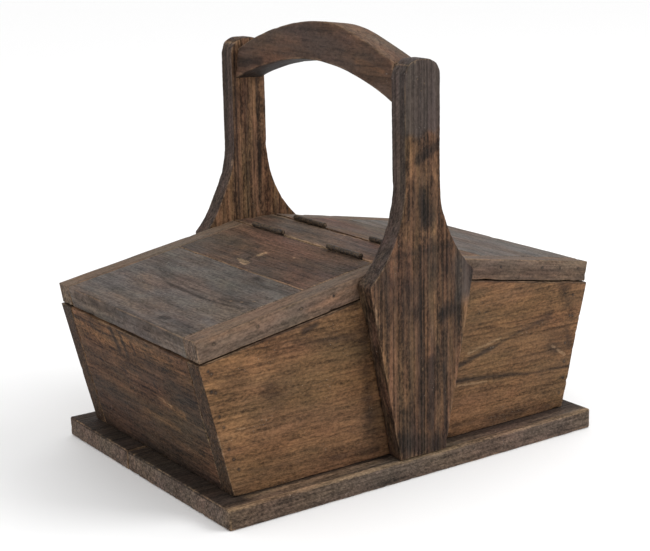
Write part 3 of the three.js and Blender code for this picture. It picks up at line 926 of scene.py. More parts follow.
FRONT_WALL_MARKS = {
    "stain": (
        (-185, 40, -85, 30, 5, 0.35), (-85, 30, -36, 27, 7, 0.6), (-148, 100, -134, 96, 18, 0.5),
        # the last of the next row's lines, from (-50, 135) to (-43, 45), darkens a band beside the upright's
        # left edge
        (-117, 138, -54, 132, 9, 0.5), (-110, 146, -98, 150, 6, 0.8), (-50, 135, -43, 45, 16, 0.55),
        (50, 82.5, 93.2, 93.6, 4.2, 0.9), (93.2, 93.6, 137.3, 105.3, 3, 0.65),
        (137.3, 105.3, 165, 112, 8, 0.6), (46, 70.8, 100, 66.1, 4.5, 0.9),
        (100, 66.1, 138.2, 60.2, 4, 0.8), (138.2, 60.2, 190, 57.3, 3, 0.65),
        (168, 81, 173, 77, 13, 0.65), (180, 138, 190, 112, 14, 0.55), (186, 94, 190, 78, 10, 0.6),
        (50, 29, 165, 24, 8, 0.55),
    ),
    "bare": (
        (174.8, 76.6, 184, 70.2, 3, 1), (168, 81.5, 171, 79.5, 3, 0.9), (48, 66.2, 88, 63.2, 2.4, 0.85),
        (66, 93.5, 104, 101, 3.4, 0.75), (-178, 77, -170, 76, 2.2, 0.9),
    ),
    "warm": (
        (-200, 114, -168, 60, 30, 1), (-185, 134, -144, 120, 20, 1), (-100, 142, -55, 150, 11, 0.9),
        (71, 140.4, 118, 147.5, 5.5, 1), (65, 132, 100, 139, 4, 0.9), (127, 128, 136, 129, 16, 0.9),
        (100, 82, 150, 88, 14, 0.6), (60, 45, 150, 40, 13, 0.6), (-170, 56, -70, 50, 30, 0.9),
    ),
}


def build_long_walls():
    """The front and back walls: blocks drawn in at the foot, with tops that follow the lids and ridge."""
    w = WallSizes()
    for edge, sign in EDGES.items():
        node = f"{edge}_wall"
        start, stop = low(node), high(node)
        wall = Timber((2 * w.top_x, stop[ACROSS] - start[ACROSS], w.peak_z - w.foot_z), ALONG)
        across = wall.x / w.top_x
        up = wall.z / (w.peak_z - w.foot_z) + 0.5
        x = across * (w.foot_x + up * (w.top_x - w.foot_x))
        z = w.foot_z + up * (w.top(across * w.top_x) - w.foot_z)
        wall.at = np.stack([x, wall.y + middle(node)[ACROSS], z], axis=1)
        wall.thin = ACROSS
        wall.saw((sign * 0.12, 0.085), 0.2 + 0.1 * sign)
        wall.wear(11 + sign, chips=40)
        wall.mark("stain", 0.55 * wall.end)
        for nail_x, nail_z in wall_nails(edge):
            wall.mark("stain", 0.9 * near(wall.at, nail_x, nail_z, 0.0036))
        # painted shade along the foot, where the wall meets the base
        wall.mark("stain", 0.4 * smooth(1 - (wall.z - w.foot_z) / 0.004))
        # painted shadow of the gap under the lids and ridge, along the top edge
        wall.mark("stain", smooth(1 - (w.top(wall.x) - wall.z) / 0.0028))
        if edge == "front":
            wall.draw(FROM_FRONT, FRONT_WALL_MARKS, wall.share[:, ACROSS] < 0.9)
        wall.build(node, "wall_wood", "warm_brown_wood")


LEFT_WALL_MARKS = {
    "stain": (
        (28.9, 133, 21, 116, 6.5, 1), (11.3, 132, 7, 113, 5, 0.9), (-5.4, 128, -9.5, 119, 3.6, 1),
        (70.3, 95, 66, 93, 3.4, 1), (29, 95.7, 20, 94, 3.4, 1), (-30, 96, -34, 90, 3.2, 1),
        (-60, 108, -90, 96, 22, 0.6), (80, 105, 10, 102, 10, 0.45), (90, 50, 40, 44, 12, 0.5),
    ),
    "bare": ((-30, 84, -52, 80.8, 2.6, 0.75),),
    "warm": (
        (100, 124, 40, 118, 24, 1), (40, 128, -88, 126, 15, 1), (-11.1, 86.8, -71.2, 77.7, 6, 1),
        (5.6, 62.9, -55.5, 60, 5, 0.6), (50, 100, 0, 92, 10, 0.5),
    ),
}


def build_end_walls():
    """The leaning end walls: blocks sheared outwards as they rise."""
    w = WallSizes()
    for side, sign in SIDES.items():
        node = f"{side}_end_wall"
        start, stop = low(node), high(node)
        run = (high("front_wall") - low("front_wall"))[ACROSS] / math.cos(sizes().splay)
        rise = stop[UP] - start[UP]
        wall = Timber((run, stop[ACROSS] - start[ACROSS], rise), ACROSS)
        outward = sign * wall.x / run + 0.5
        up = wall.z / rise + 0.5
        slope = (rise - (w.end_z - w.foot_z)) * (1 - outward)
        z = up * (w.end_z - w.foot_z + slope)
        x = sign * (w.foot_x - run * (1 - outward) + z * w.lean)
        wall.at = np.stack([x, wall.y, w.foot_z + z], axis=1)
        wall.saw((0.03, -0.06 * sign), 0.7 + 0.2 * sign)
        wall.wear(21 + sign)
        outer = outward > 0.5
        # darker towards the foot of the outer face
        wall.mark("stain", 0.7 * smooth(1 - (wall.z - w.foot_z) / 0.030) * outer)
        if side == "left":
            wall.draw(FROM_END, LEFT_WALL_MARKS, outer)
        else:
            wall.mark("warm", 0.8 * smooth((wall.z - w.end_z + 0.030) / 0.022) * outer)
        wall.build(node, "end_wall_wood", "red_brown_wood")


def build_ridge():
    """The fixed ridge board between the lids."""
    node = "ridge_board"
    start, stop = low(node), high(node)
    board = Timber(stop - start, ACROSS)
    board.saw((0.015, 0.04), 0.9)
    board.wear(31, width=0.003)
    board.at += middle(node)
    edge = smooth(1 - (stop[ALONG] - np.abs(board.x)) / 0.0080)
    board.mark("bare", 0.7 * edge * (board.z > stop[UP] - 0.004))
    board.build(node, "upper_lid_wood", "red_brown_wood")


# ---------------------------------------------------------------- lids

class LidFrame:
    """A closed lid's own frame: x runs down the slope from the hinge edge, and z = 0 is its top."""

    def __init__(self, side):
        s = sizes()
        self.sign = SIDES[side]
        upper, rail = f"{side}_lid_upper_board", f"{side}_lid_front_rail"
        edge_x, seam_x = sorted((abs(low(upper)[ALONG]), abs(high(upper)[ALONG])))
        end_x = max(abs(low(rail)[ALONG]), abs(high(rail)[ALONG]))
        self.length = (end_x - edge_x) / math.cos(s.pitch)
        self.seam = (seam_x - edge_x) / math.cos(s.pitch)
        self.thickness = (high(rail) - low(rail))[UP] / math.cos(s.pitch) - self.length * math.tan(s.pitch)
        turn = Matrix.Rotation(0 if self.sign > 0 else math.pi, 3, "Z") @ Matrix.Rotation(s.pitch, 3, "Y")
        self.turn = np.array(turn)
        self.origin = np.array([self.sign * edge_x, 0, high(rail)[UP]])
        self.plumb = self.thickness * math.tan(s.pitch)

    def in_place(self, at):
        """Points of the lid's own frame, in the box."""
        return at @ self.turn.T + self.origin

    def board(self, node, start, stop, grain):
        """A board between its start and stop down the slope, plumb cut where it meets the hinges."""
        y_low, y_high = sorted(self.sign * v for v in (low(node)[ACROSS], high(node)[ACROSS]))
        timber = Timber((stop - start, y_high - y_low, self.thickness), grain)
        timber.at += [(start + stop) / 2, (y_low + y_high) / 2, -self.thickness / 2]
        if start == 0:
            deep = -timber.z / self.thickness
            timber.x += self.plumb * deep * (1 - timber.x / stop)
        return timber


LEFT_LOWER_MARKS = {
    "stain": (
        (117.9, -61.7, 125.4, 2.4, 3, 0.6), (125.4, 2.4, 124.1, 78.3, 3, 0.7),
        (122.4, -69.2, 131.2, -16.4, 3.2, 0.6), (131.2, -16.4, 133.1, 43.1, 3.6, 0.8),
        (133.1, 43.1, 127.6, 93.4, 3.4, 0.75), (117, 86, 124, 56, 13, 0.65), (177, 47, 176, 53, 7, 1),
        (80, 40, 81, 52, 9, 0.8), (84, 10, 86, 98, 14, 0.45), (170, 80, 188, 96, 14, 0.45),
        # painted shade along the lower board's low edge
        (190, -90, 190, 90, 6, 0.45),
    ),
    "bare": (
        (176.5, 26, 177.5, 34, 4, 0.55), (112, 88.7, 112.2, 87, 2.2, 1), (118.5, 80, 119, 78, 2.2, 1),
        (122.5, 69, 122.5, 67, 2, 0.9),
    ),
    "warm": ((139, -60, 148, -30, 20, 0.9), (172, -50, 176, 0, 12, 0.6), (100, 20, 140, 70, 10, 0.4)),
}
LEFT_UPPER_MARKS = {
    "stain": ((52.2, -12, 53.2, -10.5, 4, 1), (20, -70, 50, -60, 14, 0.45), (35, 60, 60, 80, 16, 0.4)),
    "bare": ((30.3, 27.2, 30.6, 28.5, 2.4, 0.9),),
    "warm": ((40, -40, 62, -30, 14, 0.9), (20, 10, 50, 50, 18, 0.7)),
}
CHIPS = ((59.2, -19, 60.5, -10, 3.2), (61.2, -8, 62.2, -1, 5.2), (38, -8.5, 44, -8.1, 4.4))
CHIP_DEPTH = 0.0006
CHIP_STRENGTH = 1.6
RAIL_MARKS = {
    "left": {
        "stain": ((180, -10, 204, -10, 12, 0.35),),
        "warm": ((22, -8, 80, -10, 10, 1), (130, -4, 175, -2, 6, 0.7)),
    },
    "right": {
        "stain": ((30, -12, 200, -12, 18, 0.55), (80, -17, 160, -18, 6, 0.5)),
        "bare": ((50, -19.5, 92, -19.5, 2.6, 1),),
        "warm": ((30, -16, 190, -12, 10, 0.6),),
    },
}


def chip_upper_board(board):
    """Fresh chips in the left lid's upper board, bare wood sunk a little below its top."""
    for chip in CHIPS:
        board.draw(FROM_ABOVE, {"bare": [(*chip, CHIP_STRENGTH)]}, board.share[:, UP] > 0)
        sunk = smooth(1 - board.distance(FROM_ABOVE, chip)) * (board.z > -SKIN)
        board.z -= CHIP_DEPTH * sunk


def build_lids():
    """Both lids: an upper and a lower board across, and a rail down each side."""
    gap = (low("base_board_back") - high("base_board_front"))[ACROSS]
    for side, sign in SIDES.items():
        lid = LidFrame(side)
        node = f"{side}_lid_upper_board"
        upper = lid.board(node, 0, lid.seam, ACROSS)
        upper.saw((0.03, 0.05 * sign), 0.35 + sign)
        upper.wear(41 + sign, width=0.0015, chips=16)
        seam_edge = smooth(1 - (lid.seam - upper.x) / 0.002) * (upper.z > -SKIN)
        upper.mark("bare", 0.8 * seam_edge)
        if side == "left":
            upper.draw(FROM_ABOVE, LEFT_UPPER_MARKS, upper.share[:, UP] > 0)
            chip_upper_board(upper)
        upper.at = lid.in_place(upper.at)
        upper.build(node, "upper_lid_wood", "red_brown_wood")

        node = f"{side}_lid_lower_board"
        lower = lid.board(node, lid.seam + gap, lid.length, ACROSS)
        lower.saw((0.11, 0.035 * sign), 0.1 + 2 * sign)
        lower.wear(51 + sign, width=0.0015, chips=16)
        if side == "left":
            lower.draw(FROM_ABOVE, LEFT_LOWER_MARKS, lower.share[:, UP] > 0)
        lower.at = lid.in_place(lower.at)
        lower.build(node, "lid_wood", "grey_brown_wood")

        for edge, edge_sign in EDGES.items():
            node = f"{side}_lid_{edge}_rail"
            rail = lid.board(node, 0, lid.length, ALONG)
            rail.saw((-0.02, 0.05), 0.6 * sign + 0.2 * edge_sign)
            rail.wear(61 + sign + 3 * edge_sign, width=0.0015, chips=16)
            rail.draw(FROM_FRONT, RAIL_MARKS[side])
            rail.at = lid.in_place(rail.at)
            rail.stain_nails(f"{node}_nail_", 1.0, 0.0034)
            rail.build(node, "rail_wood", "grey_brown_wood")


# ---------------------------------------------------------------- uprights and handle

def upright_half_width(z):
    """Half the width of an upright at a height, with its corners eased.

    Straight from the foot to the shoulder, then R off the neck's sweep: neck + R - sqrt(R^2 - (z - c)^2),
    then the neck. Each width is the mean of those a little above and below it.
    """
    s = sizes()
    shoulder, foot_z = high("front_upright")[ALONG], low("front_upright")[UP]
    centre_x = s.neck + s.sweep
    centre_z = s.shoulder_height + math.sqrt(s.sweep ** 2 - (centre_x - shoulder) ** 2)
    widths = []
    for ease in np.linspace(-0.0015, 0.0015, 5):
        height = z + ease
        tapered = s.foot + (shoulder - s.foot) * (height - foot_z) / (s.shoulder_height - foot_z)
        drop = np.clip(centre_z - height, 0, s.sweep * 0.999)
        swept = centre_x - np.sqrt(s.sweep ** 2 - drop ** 2)
        widths.append(np.where(height < s.shoulder_height, tapered, swept))
    return np.mean(widths, axis=0)


FRONT_UPRIGHT_MARKS = {
    "stain": (
        (-4, 279, 16, 290, 8.5, 1), (-2, 246, 4, 228, 15, 0.85), (-14.5, 262, -14.5, 235, 5, 0.45),
        (44, 186, 52, 170, 10, 0.9), (50, 168, 32, 148, 9, 0.75), (33, 146, 21, 143, 12.5, 0.95),
        (-3.5, 205, -3.5, 100, 5, 0.85), (-3.5, 128, -3.5, 45, 7.5, 0.9), (7.5, 103, 7.5, 42, 8, 1),
        (22.5, 98, 25.5, 28, 4.5, 0.8), (0, 30, 22, 27, 12, 0.85), (-22, 34, 22, 24, 24, 0.95),
        (-20, 62, -12, 40, 12, 0.55), (-40, 180, -15, 172, 24, 0.6), (12, 185, 30, 180, 18, 0.5),
        (-30, 165, -10, 150, 20, 0.5), (-30, 190, 30, 196, 12, 0.4), (-18, 116, -8, 112, 8, 0.5),
        (-36, 200, 36, 202, 7.5, 0.55),
    ),
    "bare": ((-52, 165, -47, 140, 3, 0.75), (-1.5, 98, -1.2, 96, 1.8, 0.9), (41, 179, 41, 177, 2, 1)),
    "warm": (
        (-10, 286, 12, 264, 20, 0.75), (-22, 216, 24, 217, 7.5, 1), (-12, 290, -16, 252, 8, 1.2),
        (10, 268, 17, 250, 11, 1), (-18, 222, -6, 208, 11, 1), (14, 222, 20, 212, 10, 0.9),
        (-54, 178, -27, 24, 5.5, 1.3), (49, 150, 30, 46, 6.5, 1.4), (-24, 124, -20, 60, 9, 0.8),
        (12, 160, 16, 120, 8, 0.8),
    ),
    "grey": ((44, 184, 47, 160, 16, 1.2),),
}
CHAR_LINE = 0.300                   # height above which the front upright is charred
RIM = 0.003                         # how far in from an upright's sides its block is moved, not scaled
BACK_SHIFT = 0.0013                 # how far the back upright's neck is off the middle
BACK_SWELL = (0.212, 0.022, 0.09)   # height, reach and share by which its left sweep is wider
BITE_TOP = 0.165                    # height below which the front upright's left back arris is ragged
BITE_LEAST, BITE_MORE = 0.0012, 0.0034              # how far it is bitten in at the least, and how much more
INNER_STRIPES = {
    "stain": (
        (-16.5, 345, -16.5, 190, 4.5, 0.6), (-5.5, 340, -5.5, 190, 3, 0.6), (7.5, 330, 7.5, 200, 3, 0.6),
    ),
    "bare": ((-21.5, 335, -21.5, 215, 1.8, 0.8),),
    "warm": ((-10, 340, -10, 190, 5.5, 1.2), (0, 340, 0, 190, 4, 0.9), (12, 340, 12, 190, 5, 1.2)),
}


def front_upright_marks(timber):
    """The charred top, tan bands and dark patches of the front upright's face; its sides greyed above,
    painted shade below.
    """
    front = smooth((low("front_upright")[ACROSS] + 0.010 - timber.y) / 0.004)
    height = timber.z
    ragged = 0.004 * ripple(timber.at, 0.012, 5)
    charred = smooth((height + ragged - CHAR_LINE + 0.006) / 0.012)
    timber.mark("grey", charred)
    timber.mark("stain", 0.6 * charred * front)
    timber.mark("grey", 0.75 * timber.end * smooth((height - 0.170) / 0.02))
    # painted shade on the sides, darker below the shoulders
    timber.mark("stain", 0.2 * timber.end * smooth((0.150 - height) / 0.05))
    timber.draw(FROM_FRONT, FRONT_UPRIGHT_MARKS, front)


def shape_upright(timber, edge):
    """Draws an upright's block in to its outline.

    A point's distance from the middle is scaled with the width, but within RIM of a side it keeps its
    distance from that side. In a top corner a square of points (a, b) is rounded to a sqrt(1 - b^2 / 2)
    and b sqrt(1 - a^2 / 2), in units of the corner's radius.
    """
    s = sizes()
    shoulder, top_z = high(f"{edge}_upright")[ALONG], high(f"{edge}_upright")[UP]
    x, z = timber.x, timber.z
    width = upright_half_width(z)
    inset = shoulder - np.abs(x)
    inside = (width - RIM) * np.abs(x) / (shoulder - RIM)
    x = np.sign(x) * np.where(inset < RIM, width - inset, inside)
    corner_x, corner_z = s.neck - s.top_corner, top_z - s.top_corner
    a, b = (np.abs(x) - corner_x) / s.top_corner, (z - corner_z) / s.top_corner
    corner = (a > 0) & (b > 0)
    a, b = np.clip(a, 0, 1), np.clip(b, 0, 1)
    round_x = corner_x + s.top_corner * a * np.sqrt(1 - b * b / 2)
    round_z = corner_z + s.top_corner * b * np.sqrt(1 - a * a / 2)
    timber.x = np.where(corner, np.sign(x) * round_x, x)
    timber.z = np.where(corner, round_z, z)
    if edge == "back":
        timber.x -= BACK_SHIFT * smooth((timber.z - s.shoulder_height) / 0.05)
        swell_z, swell_reach, swell = BACK_SWELL
        left = timber.x < 0
        timber.x *= 1 + swell * left * np.exp(-((timber.z - swell_z) / swell_reach) ** 2)


def bite_arris(timber):
    """Makes the front upright's left back arris ragged below BITE_TOP."""
    ragged = np.exp(-(timber.arris / 0.004) ** 2) * smooth((BITE_TOP - timber.z) / 0.03)
    ragged *= (timber.share[:, ALONG] < -0.9) * smooth((timber.share[:, ACROSS] - 0.2) / 0.5)
    timber.x += ragged * (BITE_LEAST + BITE_MORE * np.clip(ripple(timber.at, 0.010, 77), 0, 1))


def build_uprights():
    """The uprights: shaped, then sawn, worn and stained, with painted shade low on the front one's sides."""
    for edge, sign in EDGES.items():
        node = f"{edge}_upright"
        timber = Timber(high(node) - low(node), UP, sizes().soft_arris)
        timber.at += middle(node)
        shape_upright(timber, edge)
        sides = np.abs(timber.share[:, ALONG]) > 1 - TINY
        timber.mark("end", sides)
        timber.thin = ACROSS
        timber.saw((0.22 * sign, 0.03), 0.4 * sign)
        if edge == "front":
            bite_arris(timber)
        timber.wear(71 + sign, width=0.002, chips=40, chip_depth=0.0006)
        timber.roughen(0.0002, 0.005, np.abs(timber.share[:, ALONG]) > 0.97, 75)
        timber.stain_nails(f"handle_{edge}_nail_", 0.9, 0.004)
        if edge == "front":
            front_upright_marks(timber)
        else:
            inner = timber.y < low(node)[ACROSS] + 0.004
            timber.draw(FROM_FRONT, INNER_STRIPES, inner)
            timber.mark("warm", inner)
            timber.mark("grey", 0.6 * sides)
        timber.build(node, "upright_wood", "striped_wood")


def handle_heights(y):
    """Heights of the handle's underside and top at a place along it, before it is rolled.

    The underside is one arc. The top is an arc behind its crown, and in front of it falls by
    front_drop * (1 + front_bend) * a^2 / (a + front_bend), where a is the share of the way to its end.
    """
    s = sizes()
    crown_z = high("front_upright")[UP] - s.underside_drop
    under = crown_z - s.underside_radius + np.sqrt(s.underside_radius ** 2 - y ** 2)
    top_z = crown_z + s.crown_depth
    behind = np.maximum(y - s.crown_y, 0)
    back = s.back_radius - np.sqrt(s.back_radius ** 2 - behind ** 2)
    ahead = np.maximum(s.crown_y - y, 0) / (s.crown_y - low("handle")[ACROSS])
    fall = s.front_drop * (1 + s.front_bend) * ahead ** 2 / (ahead + s.front_bend)
    return under, top_z - fall - back


HANDLE_MARKS = {
    "stain": (
        (118, 340, 80, 344, 10, 0.85), (20, 378, -30, 378, 6, 0.55), (-105, 352, -85, 340, 12, 0.45),
    ),
    "warm": ((-70, 356, -110, 350, 5, 1.2), (60, 365, 20, 366, 8, 0.6)),
}


def build_handle():
    """The handle: a block bowed between its two heights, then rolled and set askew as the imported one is."""
    s = sizes()
    node = "handle"
    start, stop = low(node), high(node)
    timber = Timber((s.handle_width, stop[ACROSS] - start[ACROSS], s.crown_depth), ACROSS, s.handle_arris)
    y = timber.y
    up = timber.z / s.crown_depth + 0.5
    under, top = handle_heights(y)
    hang = s.back_hang * smooth(y / stop[ACROSS]) * (1 - up) * (0.5 - timber.share[:, ALONG] / 2)
    timber.z = under + up * (top - under) - hang
    timber.thin = ALONG
    timber.saw((0.30, 0.03), 0.0)
    timber.wear(81, width=0.003, chips=14, chip_depth=0.0006)
    level = high("front_upright")[UP] - s.roll_drop
    x, z = timber.x.copy(), timber.z - level
    lean = s.roll + (s.front_roll - s.roll) * smooth(y / start[ACROSS])
    timber.x = x * np.cos(lean) + z * np.sin(lean) + s.handle_shift + y * math.tan(s.skew)
    timber.z = level + z * np.cos(lean) - x * (up * math.sin(s.roll) + (1 - up) * np.sin(lean))
    timber.mark("bare", 0.5 * smooth((up - 0.95) / 0.05))
    # painted shade on the underside
    timber.mark("stain", 1.2 * smooth((0.05 - up) / 0.05))
    timber.draw(FROM_END, HANDLE_MARKS, 1 - smooth((up - 0.9) / 0.08))
    timber.build(node, "handle_wood", "red_brown_wood")


# ---------------------------------------------------------------- nails and hinges

def build_iron(name, points, faces, body, nodes):
    """One piece of blackened iron."""
    declare(new_piece(name, points, faces, material("blackened_iron")), body, nodes)


NAIL_DOME = 0.00035                 # height of the dome of a nail's head
NAIL_RIM, NAIL_NECK = 0.0007, 0.0012                # depths of the head's rim and of the shank's start
NAIL_SHANK = 0.55                   # radius of the shank, of the head's
POINT = 0.003                       # length of the point of a nail or screw


def nail_profile(head, long):
    """Half a nail's outline, head first: a low dome, a short neck, a shank and a point."""
    dome = [(head * math.sin(t), NAIL_DOME * (1 - math.cos(t))) for t in np.linspace(0, 1.45, 6)]
    shank = head * NAIL_SHANK
    return [*dome, (head, NAIL_RIM), (shank, NAIL_NECK), (shank, long - POINT), (0, long)]


def build_nail(name, place, drive, head, body, nodes):
    """One nail with its head's face at a place, driven along +Y or -Y."""
    points, faces = turned(nail_profile(head, sizes().nail_length), 14)
    build_iron(name, points * [1, drive, drive] + place, faces, body, nodes)


def build_nails():
    """The nails of the rails and handle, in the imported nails' places, and those at the walls' corners."""
    s = sizes()
    for node in nail_nodes(""):
        x, y, z = middle(node)
        face = low(node)[ACROSS] if y < 0 else high(node)[ACROSS]
        build_nail(node, (x, face, z), 1 if y < 0 else -1, s.nail_head, body_of(node), [node])
    for edge, sign in EDGES.items():
        face = low("front_wall")[ACROSS] if sign < 0 else high("back_wall")[ACROSS]
        for i, (x, z) in enumerate(wall_nails(edge)):
            build_nail(f"{edge}_wall_nail_{i + 1}", (x, face, z), -sign, s.wall_nail_head, "carcass", [])


def joined(parts):
    """Several (points, faces) put together as one."""
    points, faces, count = [], [], 0
    for some_points, some_faces in parts:
        points.append(np.asarray(some_points))
        faces += [[count + corner for corner in face] for face in some_faces]
        count += len(some_points)
    return np.concatenate(points), faces


KNUCKLES = 5
KNUCKLE_GAP = 0.00006               # half the gap between two knuckles
LEAF_GAP = 0.0002                   # half the gap between two leaves
LEAF_ARRIS = 0.0002
PLATE_DROP = 0.0003                 # from the barrel down to a leaf's plate
TAB_SIDE, TAB_HEIGHT = 0.0003, 0.0024               # a tab's distance from its knuckle's ends, and its height
PIN_REACH = 0.0009                  # how far a pin stands out of its barrel
PIN_DOME = 0.0004                   # height of the dome of its heads


def knuckle(outer, bore, start, stop):
    """A ring along Y with eased ends: its section goes round outside and back through the bore."""
    ease, count = 0.00015, 20
    section = [(bore, start), (outer - ease, start), (outer, start + ease), (outer, start + 2 * ease),
               (outer, stop - 2 * ease), (outer, stop - ease), (outer - ease, stop), (bore, stop)]
    rings = count * np.arange(len(section))
    faces = [face for a, b in zip(rings, np.roll(rings, -1)) for face in band(a, b, count)]
    return spun(section, count), faces


SLOT_DEPTH = 0.0005
SCREW_SHANK = 0.42                  # radius of a screw's shank, of its head's
SCREW_NECK = 0.002                  # depth at which the shank starts
SCREW_PLACES = ((-0.34, 0.62), (0.0, 0.36), (0.34, 0.62))   # shares along a leaf and up it


def half_round(radius, slot, depth, side):
    """Half of a screw's head, on one side of its slot, from its face at y = 0 down to a depth.

    Three outlines are joined, the first drawn in a little: each is an arc (r cos t, r sin t) about the
    screw's axis from one edge of the slot to the other, closed along the slot.
    """
    count, ease = 14, 0.00008
    start = math.asin(slot / 2 / radius)
    turns = np.linspace(start, math.pi - start, count)
    outlines = [
        np.stack([
            reach * np.cos(turns), np.full(count, y), side * np.maximum(reach * np.sin(turns), slot / 2),
        ], axis=1)
        for reach, y in ((radius - ease, 0.0), (radius, ease), (radius, depth))
    ]
    face = list(range(count))
    back = list(range(3 * count - 1, 2 * count - 1, -1))
    faces = [face, back, *band(0, count, count), *band(count, 2 * count, count)]
    return np.concatenate(outlines), [corners[::side] for corners in faces]


def screw(turn):
    """A slotted screw with its head's face at y = 0, driven along +Y and turned about it."""
    s = sizes()
    seat, shank = s.screw_head - 0.0003, s.screw_head * SCREW_SHANK
    floor = SLOT_DEPTH - 0.0002
    profile = [(0, floor), (seat, floor), (seat, SLOT_DEPTH), (shank, SCREW_NECK),
               (shank, s.screw_length - POINT), (0, s.screw_length)]
    halves = [half_round(s.screw_head, s.screw_slot, SLOT_DEPTH, side) for side in (-1, 1)]
    points, faces = joined([*halves, turned(profile, 16)])
    x, y, z = points.T
    cosine, sine = math.cos(turn), math.sin(turn)
    return np.stack([x * cosine + z * sine, y, z * cosine - x * sine], axis=1), faces


def build_screws(leaf, face, side, foot, top):
    """Three screws in a hinge's leaf, set in a shallow V on its face and driven along +X or -X."""
    face -= side * sizes().screw_proud
    span = (high(leaf) - low(leaf))[ACROSS]
    for i, (along, up) in enumerate(SCREW_PLACES):
        points, faces = screw(0.5 + 0.9 * i + side)
        x, y, z = points.T
        place = (face, middle(leaf)[ACROSS] + along * span, foot + up * (top - foot))
        points = np.stack([side * y, -side * x, z], axis=1) + place
        build_iron(f"{leaf}_screw_{i + 1}", points, faces, body_of(leaf), [])


def build_leaf(node, axis, span, side, first):
    """One leaf of a hinge, to one side of its axis: a plate, every second knuckle with a tab, and screws."""
    s = sizes()
    foot, top = low(node)[UP], axis[UP] - s.knuckle - PLATE_DROP
    face = axis[ALONG] + side * LEAF_GAP
    x = face + side * s.leaf / 2
    pitch = span / KNUCKLES
    _, plate, plate_faces = rounded_block((s.leaf, span, top - foot), LEAF_ARRIS, 0.0025, 2)
    parts = [(plate + [x, axis[ACROSS], (top + foot) / 2], plate_faces.tolist())]
    for i in range(first, KNUCKLES, 2):
        y = axis[ACROSS] - span / 2 + i * pitch
        ring, ring_faces = knuckle(s.knuckle, s.bore, y + KNUCKLE_GAP, y + pitch - KNUCKLE_GAP)
        parts.append((ring + [axis[ALONG], 0, axis[UP]], ring_faces))
        tab_size = (s.leaf, pitch - 2 * TAB_SIDE, TAB_HEIGHT)
        _, tab, tab_faces = rounded_block(tab_size, LEAF_ARRIS, 0.002, 1)
        parts.append((tab + [x, y + pitch / 2, top + TAB_HEIGHT / 6], tab_faces.tolist()))
    points, faces = joined(parts)
    build_iron(node, points, faces, body_of(node), [node])
    build_screws(node, face, side, foot, top)


def build_pin(node, axis, reach):
    """A hinge's pin: a shank with a low domed head at each end, symmetric about the middle."""
    s = sizes()
    dome = [(s.pin_head * math.sin(t), -reach - PIN_DOME * math.cos(t)) for t in np.linspace(0, 1.5, 5)]
    half = [*dome, (s.pin_head, 0.0006 - reach), (s.pin_shank, 0.0007 - reach)]
    points, faces = turned([*half, *[(r, -y) for r, y in reversed(half)]], 18)
    build_iron(node, points + axis, faces, body_of(node), [node])


def build_hinges():
    """Each hinge's two leaves with their knuckles and screws, and its pin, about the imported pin's line."""
    for side, sign in SIDES.items():
        for edge in EDGES:
            pin, fixed, moving = (f"{side}_{edge}_hinge_{part}" for part in ("pin", "fixed_leaf", "lid_leaf"))
            axis, span = middle(pin), (high(fixed) - low(fixed))[ACROSS]
            build_leaf(fixed, axis, span, -sign, 0)
            build_leaf(moving, axis, span, sign, 1)
            build_pin(pin, axis, span / 2 + PIN_REACH)


# ---------------------------------------------------------------- stage

PHOTO_WIDTH = 650                   # pixels
PHOTO_FOCAL = 1529.96               # pixels
CAMERA_YAW = math.radians(34.85)
CAMERA_PITCH = math.radians(14.19)
CAMERA_ROLL = math.radians(-1.10)
CAMERA_DISTANCE = 1.41179
CAMERA_SHIFT = (-0.0020, 0.00186)   # metres to the right and up
CAMERA_TARGET = Vector((0, 0, 0.150))
LAMP_PLACE = (1.4, -1.5, 1.9)
LAMP_SIZE = 1.4
LAMP_POWER = 30                     # watts


def add_camera():
    """The camera: turned by its roll, pitch and yaw, and drawn back from the middle of the box."""
    turn = Matrix.Rotation(-CAMERA_YAW, 4, "Z") @ Matrix.Rotation(math.pi / 2 - CAMERA_PITCH, 4, "X")
    turn = turn @ Matrix.Rotation(CAMERA_ROLL, 4, "Z")
    place = CAMERA_TARGET + turn @ Vector((*CAMERA_SHIFT, CAMERA_DISTANCE))
    camera = bpy.data.cameras.new("camera")
    camera.sensor_fit = "HORIZONTAL"
    camera.sensor_width = 36
    camera.lens = PHOTO_FOCAL * camera.sensor_width / PHOTO_WIDTH
    camera.clip_end = 60
    holder = bpy.data.objects.new("camera", camera)
    holder.matrix_world = Matrix.Translation(place) @ turn
    bpy.context.scene.collection.objects.link(holder)
    bpy.context.scene.camera = holder


def add_lamp(name, place, size, power):
    """A square soft lamp that faces the middle of the box."""
    lamp = bpy.data.lights.new(name, "AREA")
    lamp.size = size
    lamp.energy = power
    holder = bpy.data.objects.new(name, lamp)
    facing = (CAMERA_TARGET - Vector(place)).to_track_quat("-Z", "Y")
    holder.matrix_world = Matrix.Translation(place) @ facing.to_matrix().to_4x4()
    bpy.context.scene.collection.objects.link(holder)


def add_floor():
    """A plain pale floor."""
    made, g, shader = new_material("pale_floor")
    g.fill(shader, {"Base Color": opaque(colours().floor), "Roughness": 0.9, "Specular IOR Level": 0.1})
    reach = sizes().floor
    points = np.array([[-reach, -reach, 0], [reach, -reach, 0], [reach, reach, 0], [-reach, reach, 0]], float)
    floor = new_piece("floor", points, np.array([[0, 1, 2, 3]]), made)


# ---------------------------------------------------------------- operators, panel and run

class KINDLINGBOX_OT_base(bpy.types.Operator):
    """Build the two base boards"""
    bl_idname = "kindling_box.base"
    bl_label = "Base"

    def execute(self, context):
        build_base()
        return {"FINISHED"}


class KINDLINGBOX_OT_walls(bpy.types.Operator):
    """Build the long walls, the end walls and the ridge board"""
    bl_idname = "kindling_box.walls"
    bl_label = "Walls"

    def execute(self, context):
        build_long_walls()
        build_end_walls()
        build_ridge()
        return {"FINISHED"}


class KINDLINGBOX_OT_lids(bpy.types.Operator):
    """Build the boards and rails of both lids"""
    bl_idname = "kindling_box.lids"
    bl_label = "Lids"

    def execute(self, context):
        build_lids()
        return {"FINISHED"}


